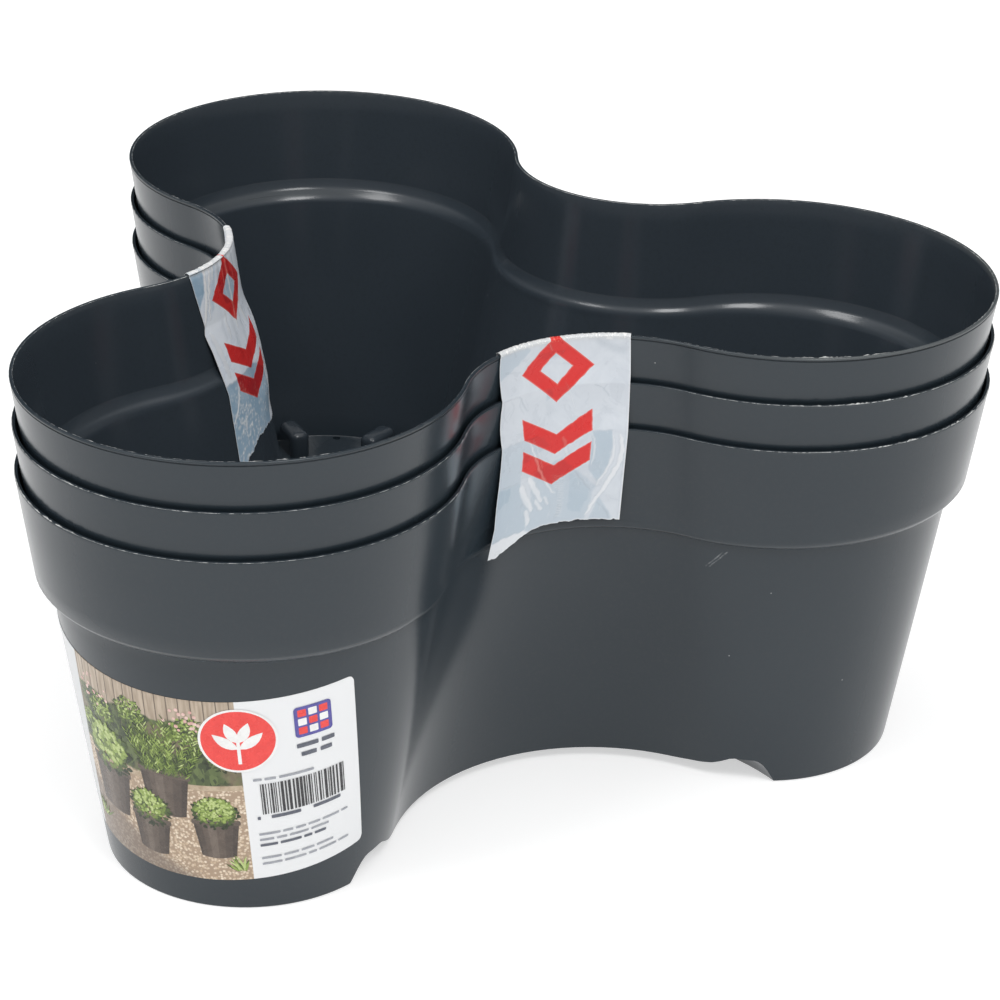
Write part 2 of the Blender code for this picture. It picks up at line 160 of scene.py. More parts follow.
def inner_profile(top):
    """(inset, height, lobe distance) from inside the floor up past the lip."""
    points = []
    wall_at = lambda z: body_inset(z) + WALL
    if top:
        arc = ledge(LEDGE_HIGH, 0.0071, ((0.0310, 20.0, 26.0, 5), (0.0060, 26.0, 41.5, 8), (0.0090, 41.5, 10.0, 16)))
        x_low, z_low = arc[-1]
        wall_at = lambda z: lerp(0.0300, x_low, (z - FLOOR) / (z_low - FLOOR))
    else:
        body_tilt = math.degrees(math.atan((IN_FOOT - IN_BODY) / Z_STEP))
        arc = ledge(0.1128, WALL + band_inset(0.1128), ((0.0051, 0.0, 48.0, 8), (0.0056, 48.0, body_tilt, 10)))
        miss = body_inset(arc[-1][1]) + WALL - arc[-1][0]
        arc = [(x + miss * (i / (len(arc) - 1)) ** 1.5, z) for i, (x, z) in enumerate(arc)]
        x_low, z_low = arc[-1]

    def d_in(z):
        high = 0.1217 if top else D_RIM
        low = 0.1205 if top else d_at(Z_CREASE)
        if z >= 0.1088:
            return high
        if z >= z_low:
            return lerp(low, high, smooth(z_low, 0.1088, z))
        return lerp(d_at(FLOOR), low, (z - FLOOR) / (z_low - FLOOR))

    for i in range(5):
        q = math.pi / 2.0 * i / 4.0
        z = FLOOR + FLOOR_ROUND * (1.0 - math.cos(q))
        points.append((wall_at(FLOOR + FLOOR_ROUND) + FLOOR_ROUND * (1.0 - math.sin(q)), z))
    points += [(wall_at(z), z) for z in (0.012, 0.03, 0.05, 0.07, 0.09, 0.100)]
    points += list(reversed(arc))
    points = [(x, z, d_in(z)) for x, z in points]
    crease_inset, crease_d = points[-1][0], points[-1][2]
    for z in (LEDGE_HIGH + 0.00022, 0.1145, 0.122, 0.132, 0.141, 0.1475):
        if top:
            t = (HEIGHT - z) / (HEIGHT - LEDGE_HIGH)
            points.append((lerp(WALL, crease_inset, t), z, lerp(D_RIM, crease_d, t)))
        else:
            points.append((WALL + band_inset(z), z, D_RIM))
    lip, wide = 0.00035, WALL - 0.0003
    points += [(wide, HEIGHT - lip, D_RIM), (wide - lip * 0.3, HEIGHT - lip * 0.3, D_RIM),
               (wide - lip, HEIGHT, D_RIM), (wide - 2.0 * lip, HEIGHT + 0.004, D_RIM)]
    return points


def inset_of(x, y, z):
    """How far places (arrays, about the pots' axis) lie inside the full trefoil."""
    d = np.where(z >= Z_ROUND, D_RIM, np.where(z >= Z_STEP, D_STEP + (D_RIM - D_STEP) * (z - Z_STEP) / (Z_ROUND - Z_STEP),
                                                D_FOOT + (D_STEP - D_FOOT) * z / Z_STEP))
    reach = 2.0 * (R_LOBE + R_WAIST)
    e = (d + np.sqrt(reach * reach - 3.0 * d * d)) / 2.0
    third = 2.0 * math.pi / 3.0
    a = np.arctan2(y, x) - math.radians(LOBES[0])
    a = np.abs((a + third / 2.0) % third - third / 2.0)
    r = np.hypot(x, y)
    px, py = r * np.cos(a), r * np.sin(a)
    wx, wy = e * math.cos(math.pi / 3), e * math.sin(math.pi / 3)
    on_lobe = (wx - d) * py - wy * (px - d) < 0.0
    return np.where(on_lobe, R_LOBE - np.hypot(px - d, py), np.hypot(px - wx, py - wy) - R_WAIST)


# ---------------------------------------------------------------- mesh helpers
def new_object(name, mesh, place=None):
    obj = bpy.data.objects.new(name, mesh)
    (place or bpy.context.scene.collection).objects.link(obj)
    return obj


def mesh_from(bm, name):
    mesh = bpy.data.meshes.new(name)
    bm.to_mesh(mesh)
    bm.free()
    return mesh


def paint(mesh, name, values):
    """A number at each point, for the material to read."""
    layer = mesh.attributes.new(name, "FLOAT", "POINT")
    layer.data.foreach_set("value", np.asarray(values, dtype=np.float32).ravel())


def loft(name, rings):
    bm = bmesh.new()
    made = [[bm.verts.new(p) for p in ring] for ring in rings]
    count = len(made[0])
    for low, high in zip(made, made[1:]):
        for i in range(count):
            j = (i + 1) % count
            bm.faces.new((low[i], low[j], high[j], high[i]))
    bm.faces.new(list(reversed(made[0])))
    bm.faces.new(made[-1])
    bm.normal_update()
    return new_object(name, mesh_from(bm, name))


def ring(d, inset, z, turn=0.0):
    return [Vector((x, y, z)) for x, y in outline(d, inset, turn)]


def rounded_boxes(name, sizes, bevel, segments):
    """Boxes with rounded edges, each (low, high, direction, centre), as one mesh."""
    bm = bmesh.new()
    for low, high, direction, centre in sizes:
        made = bmesh.ops.create_cube(bm, size=1.0)["verts"]
        a = math.radians(direction)
        for v in made:
            x, y, z = (lerp(low[k], high[k], v.co[k] + 0.5) for k in range(3))
            v.co = Vector((centre[0] + x * math.cos(a) - y * math.sin(a),
                           centre[1] + x * math.sin(a) + y * math.cos(a), z))
        bm.normal_update()
        if bevel:
            edges = list({e for v in made for e in v.link_edges})
            bmesh.ops.bevel(bm, geom=edges, offset=bevel, segments=segments, affect="EDGES", profile=0.5)
    return new_object(name, mesh_from(bm, name))


def boolean(obj, cutter, operation="DIFFERENCE"):
    modifier = obj.modifiers.new(cutter.name, "BOOLEAN")
    modifier.operation, modifier.solver, modifier.object = operation, "MANIFOLD", cutter


def channel(name, grow, lift, low):
    rows = ((0.0100, 0.0), (0.0088, 0.0020), (0.0070, 0.0052), (0.0052, 0.0078), (0.0038, 0.0091), (0.0024, 0.0097),
            (-0.0026, 0.0099), (-0.0038, 0.0094), (-0.0050, 0.0080), (-0.0064, 0.0063), (-0.0080, 0.0051),
            (-0.0098, 0.0044), (-0.0115, CENTRE_LIFT))
    rings = [ring(D_RIM, -(rows[0][0] + grow), low, 60.0)]
    for k, (u, z) in enumerate(rows):
        wide = grow if k < 6 else -0.8 * grow
        rings.append(ring(D_RIM, -(u + wide), z + lift, 60.0))
    return loft(name, rings)


BLOCK_TURNS, HOLE_TURNS = (-60.0, 0.0, 60.0), (-28.0, 28.0)


def make_pot_mesh(top):
    outside = loft("outside", [ring(d, inset, z) for inset, z, d in outer_profile(top)])
    inside = loft("inside", [ring(d, inset, z) for inset, z, d in inner_profile(top)])
    blocks, pockets = [], []
    holes = bmesh.new()
    for direction in LOBES:
        a = math.radians(direction)
        centre = (D_FOOT * math.cos(a), D_FOOT * math.sin(a))
        for turn in BLOCK_TURNS:
            blocks.append(((0.0277, -0.0042, -0.006), (0.0446, 0.0042, 0.0131), direction + turn, centre))
            pockets.append(((0.0296, -0.0015, -0.005), (0.0424, 0.0015, 0.0098), direction + turn, centre))
        for turn in HOLE_TURNS:
            t = math.radians(direction + turn)
            made = bmesh.ops.create_cone(holes, cap_ends=True, segments=24, radius1=0.0016, radius2=0.0016, depth=0.02)["verts"]
            for v in made:
                v.co += Vector((centre[0] + 0.0456 * math.cos(t), centre[1] + 0.0456 * math.sin(t), 0.0))
    block = rounded_boxes("blocks", blocks, 0.0029, 6)
    pocket = rounded_boxes("pockets", pockets, 0.0, 1)
    hole = new_object("holes", mesh_from(holes, "holes"))
    under, raised = channel("under", 0.0, 0.0, -0.006), channel("raised", 0.0018, FLOOR, -0.004)
    boolean(inside, raised)
    boolean(inside, block)
    for cutter in (under, inside, pocket, hole):
        boolean(outside, cutter)
    graph = bpy.context.evaluated_depsgraph_get()
    mesh = bpy.data.meshes.new_from_object(outside.evaluated_get(graph), depsgraph=graph)
    for helper in (outside, inside, block, pocket, hole, under, raised):
        bpy.data.objects.remove(helper, do_unlink=True)
    bm = bmesh.new()
    bm.from_mesh(mesh)
    bmesh.ops.remove_doubles(bm, verts=bm.verts, dist=0.000004)
    bmesh.ops.dissolve_degenerate(bm, edges=bm.edges, dist=0.000002)
    bm.to_mesh(mesh)
    bm.free()
    mesh.materials.clear()
    mesh.shade_smooth()
    mesh.set_sharp_from_angle(angle=math.radians(35))
    # where the lip is, the groove under it, the ledge's crease, and the inside, for the material's painted shade in
    # the groove, painted highlight on the crease and painted fill light inside
    co = np.empty(len(mesh.vertices) * 3)
    mesh.vertices.foreach_get("co", co)
    x, y, z = co.reshape(-1, 3).T
    paint(mesh, "lip", np.clip((z - (HEIGHT - 0.00080)) / 0.00020, 0.0, 1.0) * (1.0 if top else 0.25))
    paint(mesh, "groove", ((z > HEIGHT - 0.00140) & (z < HEIGHT - 0.00105)).astype(float) * (1.0 if top else 0.0))
    paint(mesh, "crease", (np.abs(z - LEDGE_HIGH) < 0.00005).astype(float) * (1.0 if top else 0.0))
    outer = np.where(z >= Z_ROUND, IN_BAND * (HEIGHT - z) / (HEIGHT - Z_ROUND), IN_FOOT + (IN_BODY - IN_FOOT) * np.minimum(z, Z_STEP) / Z_STEP)
    outer = np.where((z > Z_STEP) & (z < Z_ROUND), IN_BODY + (IN_BAND - IN_BODY) * (z - Z_STEP) / (Z_ROUND - Z_STEP), outer)
    low = np.clip((z - 0.0030) / 0.0030, 0.0, 1.0)
    paint(mesh, "inside", np.clip((inset_of(x, y, z) - outer - 0.0004) / 0.0006, 0.0, 1.0) * (0.30 + 0.70 * low))
    return mesh


# ---------------------------------------------------------------- node helper
class Look:
    """Builds one material's node tree."""

    def __init__(self, name):
        self.mat = bpy.data.materials.new(name)
        self.mat.use_nodes = True
        self.tree = self.mat.node_tree
        self.shader = self.tree.nodes["Principled BSDF"]
        self.out = self.tree.nodes["Material Output"]

    def add(self, kind, **settings):
        node = self.tree.nodes.new(kind)
        for key, value in settings.items():
            setattr(node, key, value)
        return node

    def put(self, socket, value):
        if isinstance(value, bpy.types.NodeSocket):
            self.tree.links.new(value, socket)
        elif value is not None:
            if socket.type == "RGBA" and len(value) == 3:
                value = (*value, 1.0)
            socket.default_value = value

    def math(self, op, a, b=None, c=None, clamp=False):
        node = self.add("ShaderNodeMath", operation=op, use_clamp=clamp)
        for socket, value in zip(node.inputs, (a, b, c)):
            if value is not None:
                self.put(socket, value)
        return node.outputs[0]

    def vector(self, op, a, b=None, scale=None):
        node = self.add("ShaderNodeVectorMath", operation=op)
        self.put(node.inputs[0], a)
        if b is not None:
            self.put(node.inputs[1], b)
        if scale is not None:
            self.put(node.inputs["Scale"], scale)
        return node.outputs["Value"] if op in ("LENGTH", "DISTANCE", "DOT_PRODUCT") else node.outputs["Vector"]

    def mix(self, factor, a, b, blend="MIX"):
        node = self.add("ShaderNodeMix", data_type="RGBA", blend_type=blend)
        self.put(node.inputs["Factor"], factor)
        self.put(node.inputs["A"], a)
        self.put(node.inputs["B"], b)
        return node.outputs["Result"]

    def blend(self, factor, a, b):
        node = self.add("ShaderNodeMix", data_type="FLOAT")
        self.put(node.inputs["Factor"], factor)
        self.put(node.inputs["A"], a)
        self.put(node.inputs["B"], b)
        return node.outputs["Result"]

    def span(self, value, low, high, to_low=0.0, to_high=1.0, smooth_step=True):
        node = self.add("ShaderNodeMapRange")
        node.interpolation_type = "SMOOTHSTEP" if smooth_step else "LINEAR"
        for key, v in (("Value", value), ("From Min", low), ("From Max", high), ("To Min", to_low), ("To Max", to_high)):
            self.put(node.inputs[key], v)
        return node.outputs[0]

    def coords(self, which="Object", scale=(1, 1, 1), location=(0, 0, 0)):
        source = self.add("ShaderNodeTexCoord").outputs[which]
        if tuple(scale) == (1, 1, 1) and tuple(location) == (0, 0, 0):
            return source
        node = self.add("ShaderNodeMapping")
        self.put(node.inputs["Vector"], source)
        node.inputs["Scale"].default_value = scale
        node.inputs["Location"].default_value = location
        return node.outputs[0]

    def noise(self, vector, scale, detail=3.0, rough=0.5, distortion=0.0, colour=False):
        node = self.add("ShaderNodeTexNoise")
        self.put(node.inputs["Vector"], vector)
        for key, v in (("Scale", scale), ("Detail", detail), ("Roughness", rough), ("Distortion", distortion)):
            node.inputs[key].default_value = v
        return node.outputs["Color" if colour else "Fac"]

    def voronoi(self, vector, scale, randomness=1.0, feature="F1"):
        node = self.add("ShaderNodeTexVoronoi", feature=feature)
        self.put(node.inputs["Vector"], vector)
        node.inputs["Scale"].default_value = scale
        node.inputs["Randomness"].default_value = randomness
        return node

    def attribute(self, name, which="Fac"):
        return self.add("ShaderNodeAttribute", attribute_name=name).outputs[which]

    def bump(self, height, distance, strength=1.0, normal=None):
        node = self.add("ShaderNodeBump")
        node.inputs["Strength"].default_value = strength
        node.inputs["Distance"].default_value = distance
        self.put(node.inputs["Height"], height)
        if normal is not None:
            self.put(node.inputs["Normal"], normal)
        return node.outputs[0]

    def set(self, **values):
        for key, value in values.items():
            self.put(self.shader.inputs[key.replace("_", " ")], value)


def charcoal_plastic():
    """Satin injection-moulded polypropylene: faint flow mottle, fine grain, dust specks, pale lip; painted fill light
    lightens the inside, painted shade darkens the groove under the top lip, and a painted highlight lines the ledge's
    crease.
    """
    m = Look("charcoal_plastic_look")
    at = m.coords()
    broad = m.noise(at, 14.0, 2.0, 0.5)
    fine = m.noise(at, 620.0, 3.0, 0.6)
    grain = m.noise(at, 2600.0, 2.0, 0.6)
    tone = m.span(broad, 0.25, 0.75)
    outer = m.mix(tone, (0.0196, 0.0288, 0.0372), (0.0226, 0.0323, 0.0407))
    # painted fill light: the inside gets a lighter copy of the plastic's colour, less of it low on the floor
    inner = m.mix(tone, (0.0330, 0.0430, 0.0540), (0.0370, 0.0475, 0.0590))
    within = m.attribute("inside")
    colour = m.mix(within, outer, inner)
    colour = m.mix(m.span(fine, 0.45, 0.75, 0.0, 0.30), colour, (0.029, 0.036, 0.042))
    # sparse pale dust: small dots in a few cells of two scattered patterns
    for scale, radius, keep in ((70.0, 0.024, 0.74), (34.0, 0.014, 0.62)):
        cells = m.voronoi(at, scale)
        dot = m.span(cells.outputs["Distance"], radius * 0.6, radius, 1.0, 0.0)
        chosen = m.add("ShaderNodeSeparateColor")
        m.put(chosen.inputs[0], cells.outputs["Color"])
        dot = m.math("MULTIPLY", dot, m.math("GREATER_THAN", chosen.outputs[0], keep))
        colour = m.mix(m.math("MULTIPLY", dot, 0.75), colour, (0.36, 0.38, 0.38))
    lip, groove = m.attribute("lip"), m.attribute("groove")
    ragged = m.noise(at, 240.0, 4.0, 0.7)
    patch = m.noise(at, 22.0, 2.0, 0.5)
    lip_mix = m.math("MULTIPLY", lip, m.math("MULTIPLY", m.span(ragged, 0.38, 0.60, 0.10, 1.0), m.span(patch, 0.42, 0.60, 0.12, 1.0)))
    # the lip is paler towards the right lobe's tip
    side = m.add("ShaderNodeSeparateXYZ")
    m.put(side.inputs[0], at)
    paler_lip = m.math("MAXIMUM", m.math("MULTIPLY", lip_mix, 0.22), m.math("MULTIPLY", lip, m.span(side.outputs[0], 0.110, 0.165, 0.0, 0.62)))
    colour = m.mix(paler_lip, colour, (0.120, 0.130, 0.132))
    # painted shade: the groove under the top pot's lip is painted near black
    colour = m.mix(m.math("MULTIPLY", groove, m.span(patch, 0.40, 0.60, 0.22, 0.62)), colour, (0.004, 0.005, 0.006))
    # painted highlight: a thin lighter line along the inside ledge's crease
    colour = m.mix(m.math("MULTIPLY", m.attribute("crease"), 0.35), colour, (0.060, 0.068, 0.076))
    # a short double scuff under the step, right of the front tape
    spot = m.vector("SUBTRACT", at, (0.11878, 0.02434, 0.09660))
    along, across = m.vector("DOT_PRODUCT", spot, (0.6633, 0.0588, 0.7463)), m.vector("DOT_PRODUCT", spot, (-0.698, -0.311, 0.645))
    out = m.vector("DOT_PRODUCT", spot, (0.272, -0.949, -0.163))
    near = m.span(m.math("ABSOLUTE", out), 0.0008, 0.0012, 1.0, 0.0)
    rubbed = m.span(m.noise(at, 1500.0, 2.0, 0.6), 0.40, 0.60, 0.05, 1.0)
    for low, high, start, end in ((0.00025, 0.00075, -0.0003, 0.0092), (-0.00070, -0.00022, 0.0006, 0.0108)):
        across_it = m.math("MULTIPLY", m.span(across, low - 0.00012, low + 0.00012), m.span(across, high - 0.00012, high + 0.00012, 1.0, 0.0))
        along_it = m.math("MULTIPLY", m.span(along, start - 0.0003, start + 0.0003), m.span(along, end - 0.0006, end + 0.0003, 1.0, 0.0))
        mark = m.math("MULTIPLY", m.math("MULTIPLY", across_it, along_it), m.math("MULTIPLY", near, rubbed))
        colour = m.mix(m.math("MULTIPLY", mark, 0.85), colour, (0.200, 0.215, 0.222))
    rough = m.span(broad, 0.2, 0.8, 0.208, 0.236)
    rough = m.blend(within, rough, 0.182)
    rough = m.blend(groove, rough, 0.6)
    height = m.math("ADD", m.math("MULTIPLY", fine, 0.6), m.math("MULTIPLY", grain, 0.4))
    m.set(Base_Color=colour, Roughness=rough, Normal=m.bump(height, 0.00004, 0.5))
    m.shader.inputs["IOR"].default_value = 1.455
    return m.mat


plastic = charcoal_plastic()
lower_mesh, top_mesh = make_pot_mesh(False), make_pot_mesh(True)
POTS = (("bottom", 0), ("middle", 1), ("top", 2))
for word, level in POTS:
    mesh = (top_mesh if level == 2 else lower_mesh).copy()
    mesh.materials.append(plastic)
    mesh.transform(Matrix.Translation((0.0, AXIS_Y, level * PITCH)))
    pot = new_object("moulded_pot_" + word, mesh)
    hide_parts("pot_" + word)
    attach(pot, word + "_pot_body")


# ---------------------------------------------------------------- rough flash along the lips
def ragged(x, seed):
    """A jagged function of arc length in metres, 0 to 1, mostly low with some bursts."""
    patch = noise.noise(Vector((x * 26.0, seed * 3.7, 0.3)))
    spike = noise.noise(Vector((x * 900.0, seed * 1.3, 5.0)))
    mid = noise.noise(Vector((x * 260.0, seed * 2.1, 9.0)))
    return max(0.0, 0.6 * mid + 1.0 * spike + 0.26) * (0.3 + 0.7 * smooth(-0.15, 0.30, patch))


FLASH = {                    # where each lip is rough: arc length in metres from, to, and how much
    "top": (0.00112, ((0.133, 0.184, 1.0), (0.185, 0.235, 0.6), (0.409, 0.479, 0.75), (0.523, 0.593, 0.8), (0.940, 0.984, 0.12))),
    "middle": (0.00024, ((0.100, 0.159, 0.8), (0.449, 0.562, 0.8))),
    "bottom": (0.00024, ((0.093, 0.159, 0.8), (0.451, 0.557, 0.8)))}


def flash_ridge(name, word, level, body, seed):
    """A thin torn ridge of flash along an edge of the lip, high only here and there."""
    inset, windows = FLASH[word]
    points = outline(D_RIM, inset, lobe_n=520 if FINE else 260, waist_n=170 if FINE else 85)
    top = HEIGHT + level * PITCH
    count = len(points)
    lengths, run = [], 0.0
    for i in range(count):
        lengths.append(run)
        run += math.dist(points[i], points[(i + 1) % count])
    bm = bmesh.new()
    rows = []
    for i, (x, y) in enumerate(points):
        before, after = Vector(points[i - 1]), Vector(points[(i + 1) % count])
        along = (after - before).normalized()
        out = Vector((along.y, -along.x))
        much = 0.12
        for start, end, share in windows:
            much = max(much, share * smooth(start - 0.006, start + 0.004, lengths[i]) * smooth(end + 0.006, end - 0.004, lengths[i]))
        h = ragged(lengths[i], seed) * much
        lean = 0.45 * noise.noise(Vector((lengths[i] * 150.0, seed, 2.0)))
        base = Vector((x, y + AXIS_Y))
        inner, outer = base - out * 0.00015, base + out * 0.00015
        tip = base + out * (lean * h * 0.0011)
        rows.append([bm.verts.new((inner.x, inner.y, top - 0.00016)), bm.verts.new((outer.x, outer.y, top - 0.00016)),
                     bm.verts.new((tip.x, tip.y, top - 0.00008 + 0.00095 * h))])
    for i in range(count):
        p, q = rows[i], rows[(i + 1) % count]
        for k in range(3):
            bm.faces.new((p[k], p[(k + 1) % 3], q[(k + 1) % 3], q[k]))
    bmesh.ops.recalc_face_normals(bm, faces=bm.faces)
    obj = new_object(name, mesh_from(bm, name))
    obj.data.materials.append(flash_look)
    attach(obj, body)
    return obj


def flash_material():
    m = Look("moulding_flash_look")
    at = m.coords()
    mottle = m.noise(at, 300.0, 3.0, 0.6)
    m.set(Base_Color=m.mix(m.span(mottle, 0.35, 0.7), (0.14, 0.15, 0.155), (0.62, 0.63, 0.62)), Roughness=m.span(mottle, 0.3, 0.7, 0.42, 0.62))
    return m.mat


flash_look = flash_material()
for number, (word, level) in enumerate(POTS):
    flash_ridge("lip_flash_" + word, word, level, word + "_pot_body", 3.0 + number)


# ---------------------------------------------------------------- film tapes
RIM = HEIGHT + 2.0 * PITCH


def waist_xy(direction, d, inset, angle):
    """Plan point on a waist, at an angle (degrees) about the waist's centre; positive is clockwise
    about the pots' axis."""
    e = waist_distance(d)
    a = math.radians(direction)
    r = R_WAIST + inset
    t = a + math.pi + math.radians(angle)
    return e * math.cos(a) + r * math.cos(t), e * math.sin(a) + r * math.sin(t) + AXIS_Y


def table(points, x):
    """Smooth interpolation in a short table of (x, y)."""
    if x <= points[0][0]:
        return points[0][1]
    for (x0, y0), (x1, y1) in zip(points, points[1:]):
        if x <= x1:
            return lerp(y0, y1, (x - x0) / (x1 - x0))
    return points[-1][1]


INSIDE = [p for p in inner_profile(True) if p[1] <= HEIGHT - 0.0003]


def inside_at(z):
    """(inset, lobe distance) of the top pot's inner wall at a height above its foot."""
    for (i0, z0, d0), (i1, z1, d1) in zip(INSIDE, INSIDE[1:]):
        if z <= z1:
            s = (z - z0) / (z1 - z0)
            return lerp(i0, i1, s), lerp(d0, d1, s)
    return INSIDE[-1][0], INSIDE[-1][2]


WIDTH = 0.0508               # of the tape
MM = 0.001


def mm(points):
    return [(x * MM, y * MM) for x, y in points]


def eased(points, rounds=2):
    """The polyline with its corners cut, its ends kept."""
    for _ in range(rounds):
        out = [points[0]]
        for (x0, y0), (x1, y1) in zip(points, points[1:]):
            out += [(lerp(x0, x1, 0.25), lerp(y0, y1, 0.25)), (lerp(x0, x1, 0.75), lerp(y0, y1, 0.75))]
        points = out + [points[-1]]
    return points


def line_cover(u, v, points, half, soft=0.35):
    """How far strip places (arrays, in millimetres) lie under a drawn stroke with pointed ends."""
    line = eased(points) if len(points) > 2 else points
    best, share = np.full_like(u, 99.0), np.zeros_like(u)
    total = len(line) - 1
    for k, ((x0, y0), (x1, y1)) in enumerate(zip(line, line[1:])):
        dx, dy = x1 - x0, y1 - y0
        t = np.clip(((u - x0) * dx + (v - y0) * dy) / (dx * dx + dy * dy), 0.0, 1.0)
        dist = np.hypot(u - (x0 + t * dx), v - (y0 + t * dy))
        nearer = dist < best
        best, share = np.where(nearer, dist, best), np.where(nearer, (k + t) / total, share)
    wide = half * np.sqrt(np.clip(np.sin(np.pi * share), 0.0, 1.0))
    return np.clip((wide - best) / soft + 0.5, 0.0, 1.0) * np.clip(half / soft + 0.5, 0.0, 1.0)


def area_cover(u, v, points, soft=0.40):
    """How far strip places (arrays, in millimetres) lie in a drawn area."""
    inside, best = np.zeros(u.shape, bool), np.full_like(u, 99.0)
    for (x0, y0), (x1, y1) in zip(points, points[1:] + points[:1]):
        dx, dy = x1 - x0, y1 - y0
        t = np.clip(((u - x0) * dx + (v - y0) * dy) / (dx * dx + dy * dy), 0.0, 1.0)
        best = np.minimum(best, np.hypot(u - (x0 + t * dx), v - (y0 + t * dy)))
        if y0 != y1:
            inside ^= ((y0 > v) != (y1 > v)) & (u < dx * (v - y0) / dy + x0)
    return np.clip(np.where(inside, best, -best) / soft + 0.5, 0.0, 1.0)


def ridged(u, v, seed, scale):
    """Fine crumpling: ridged noise, 0 to 1 (u and v in millimetres)."""
    out = np.empty(u.shape)
    flat_u, flat_v, flat = (u * scale).ravel(), (v * scale).ravel(), out.ravel()
    for i in range(flat.size):
        n = noise.noise(Vector((flat_u[i], flat_v[i], seed)))
        m = noise.noise(Vector((flat_u[i] * 2.3, flat_v[i] * 2.3, seed + 7.0)))
        flat[i] = (1.0 - min(1.0, abs(n) * 2.6)) ** 2 * 0.7 + (1.0 - min(1.0, abs(m) * 2.6)) * 0.3
    return out


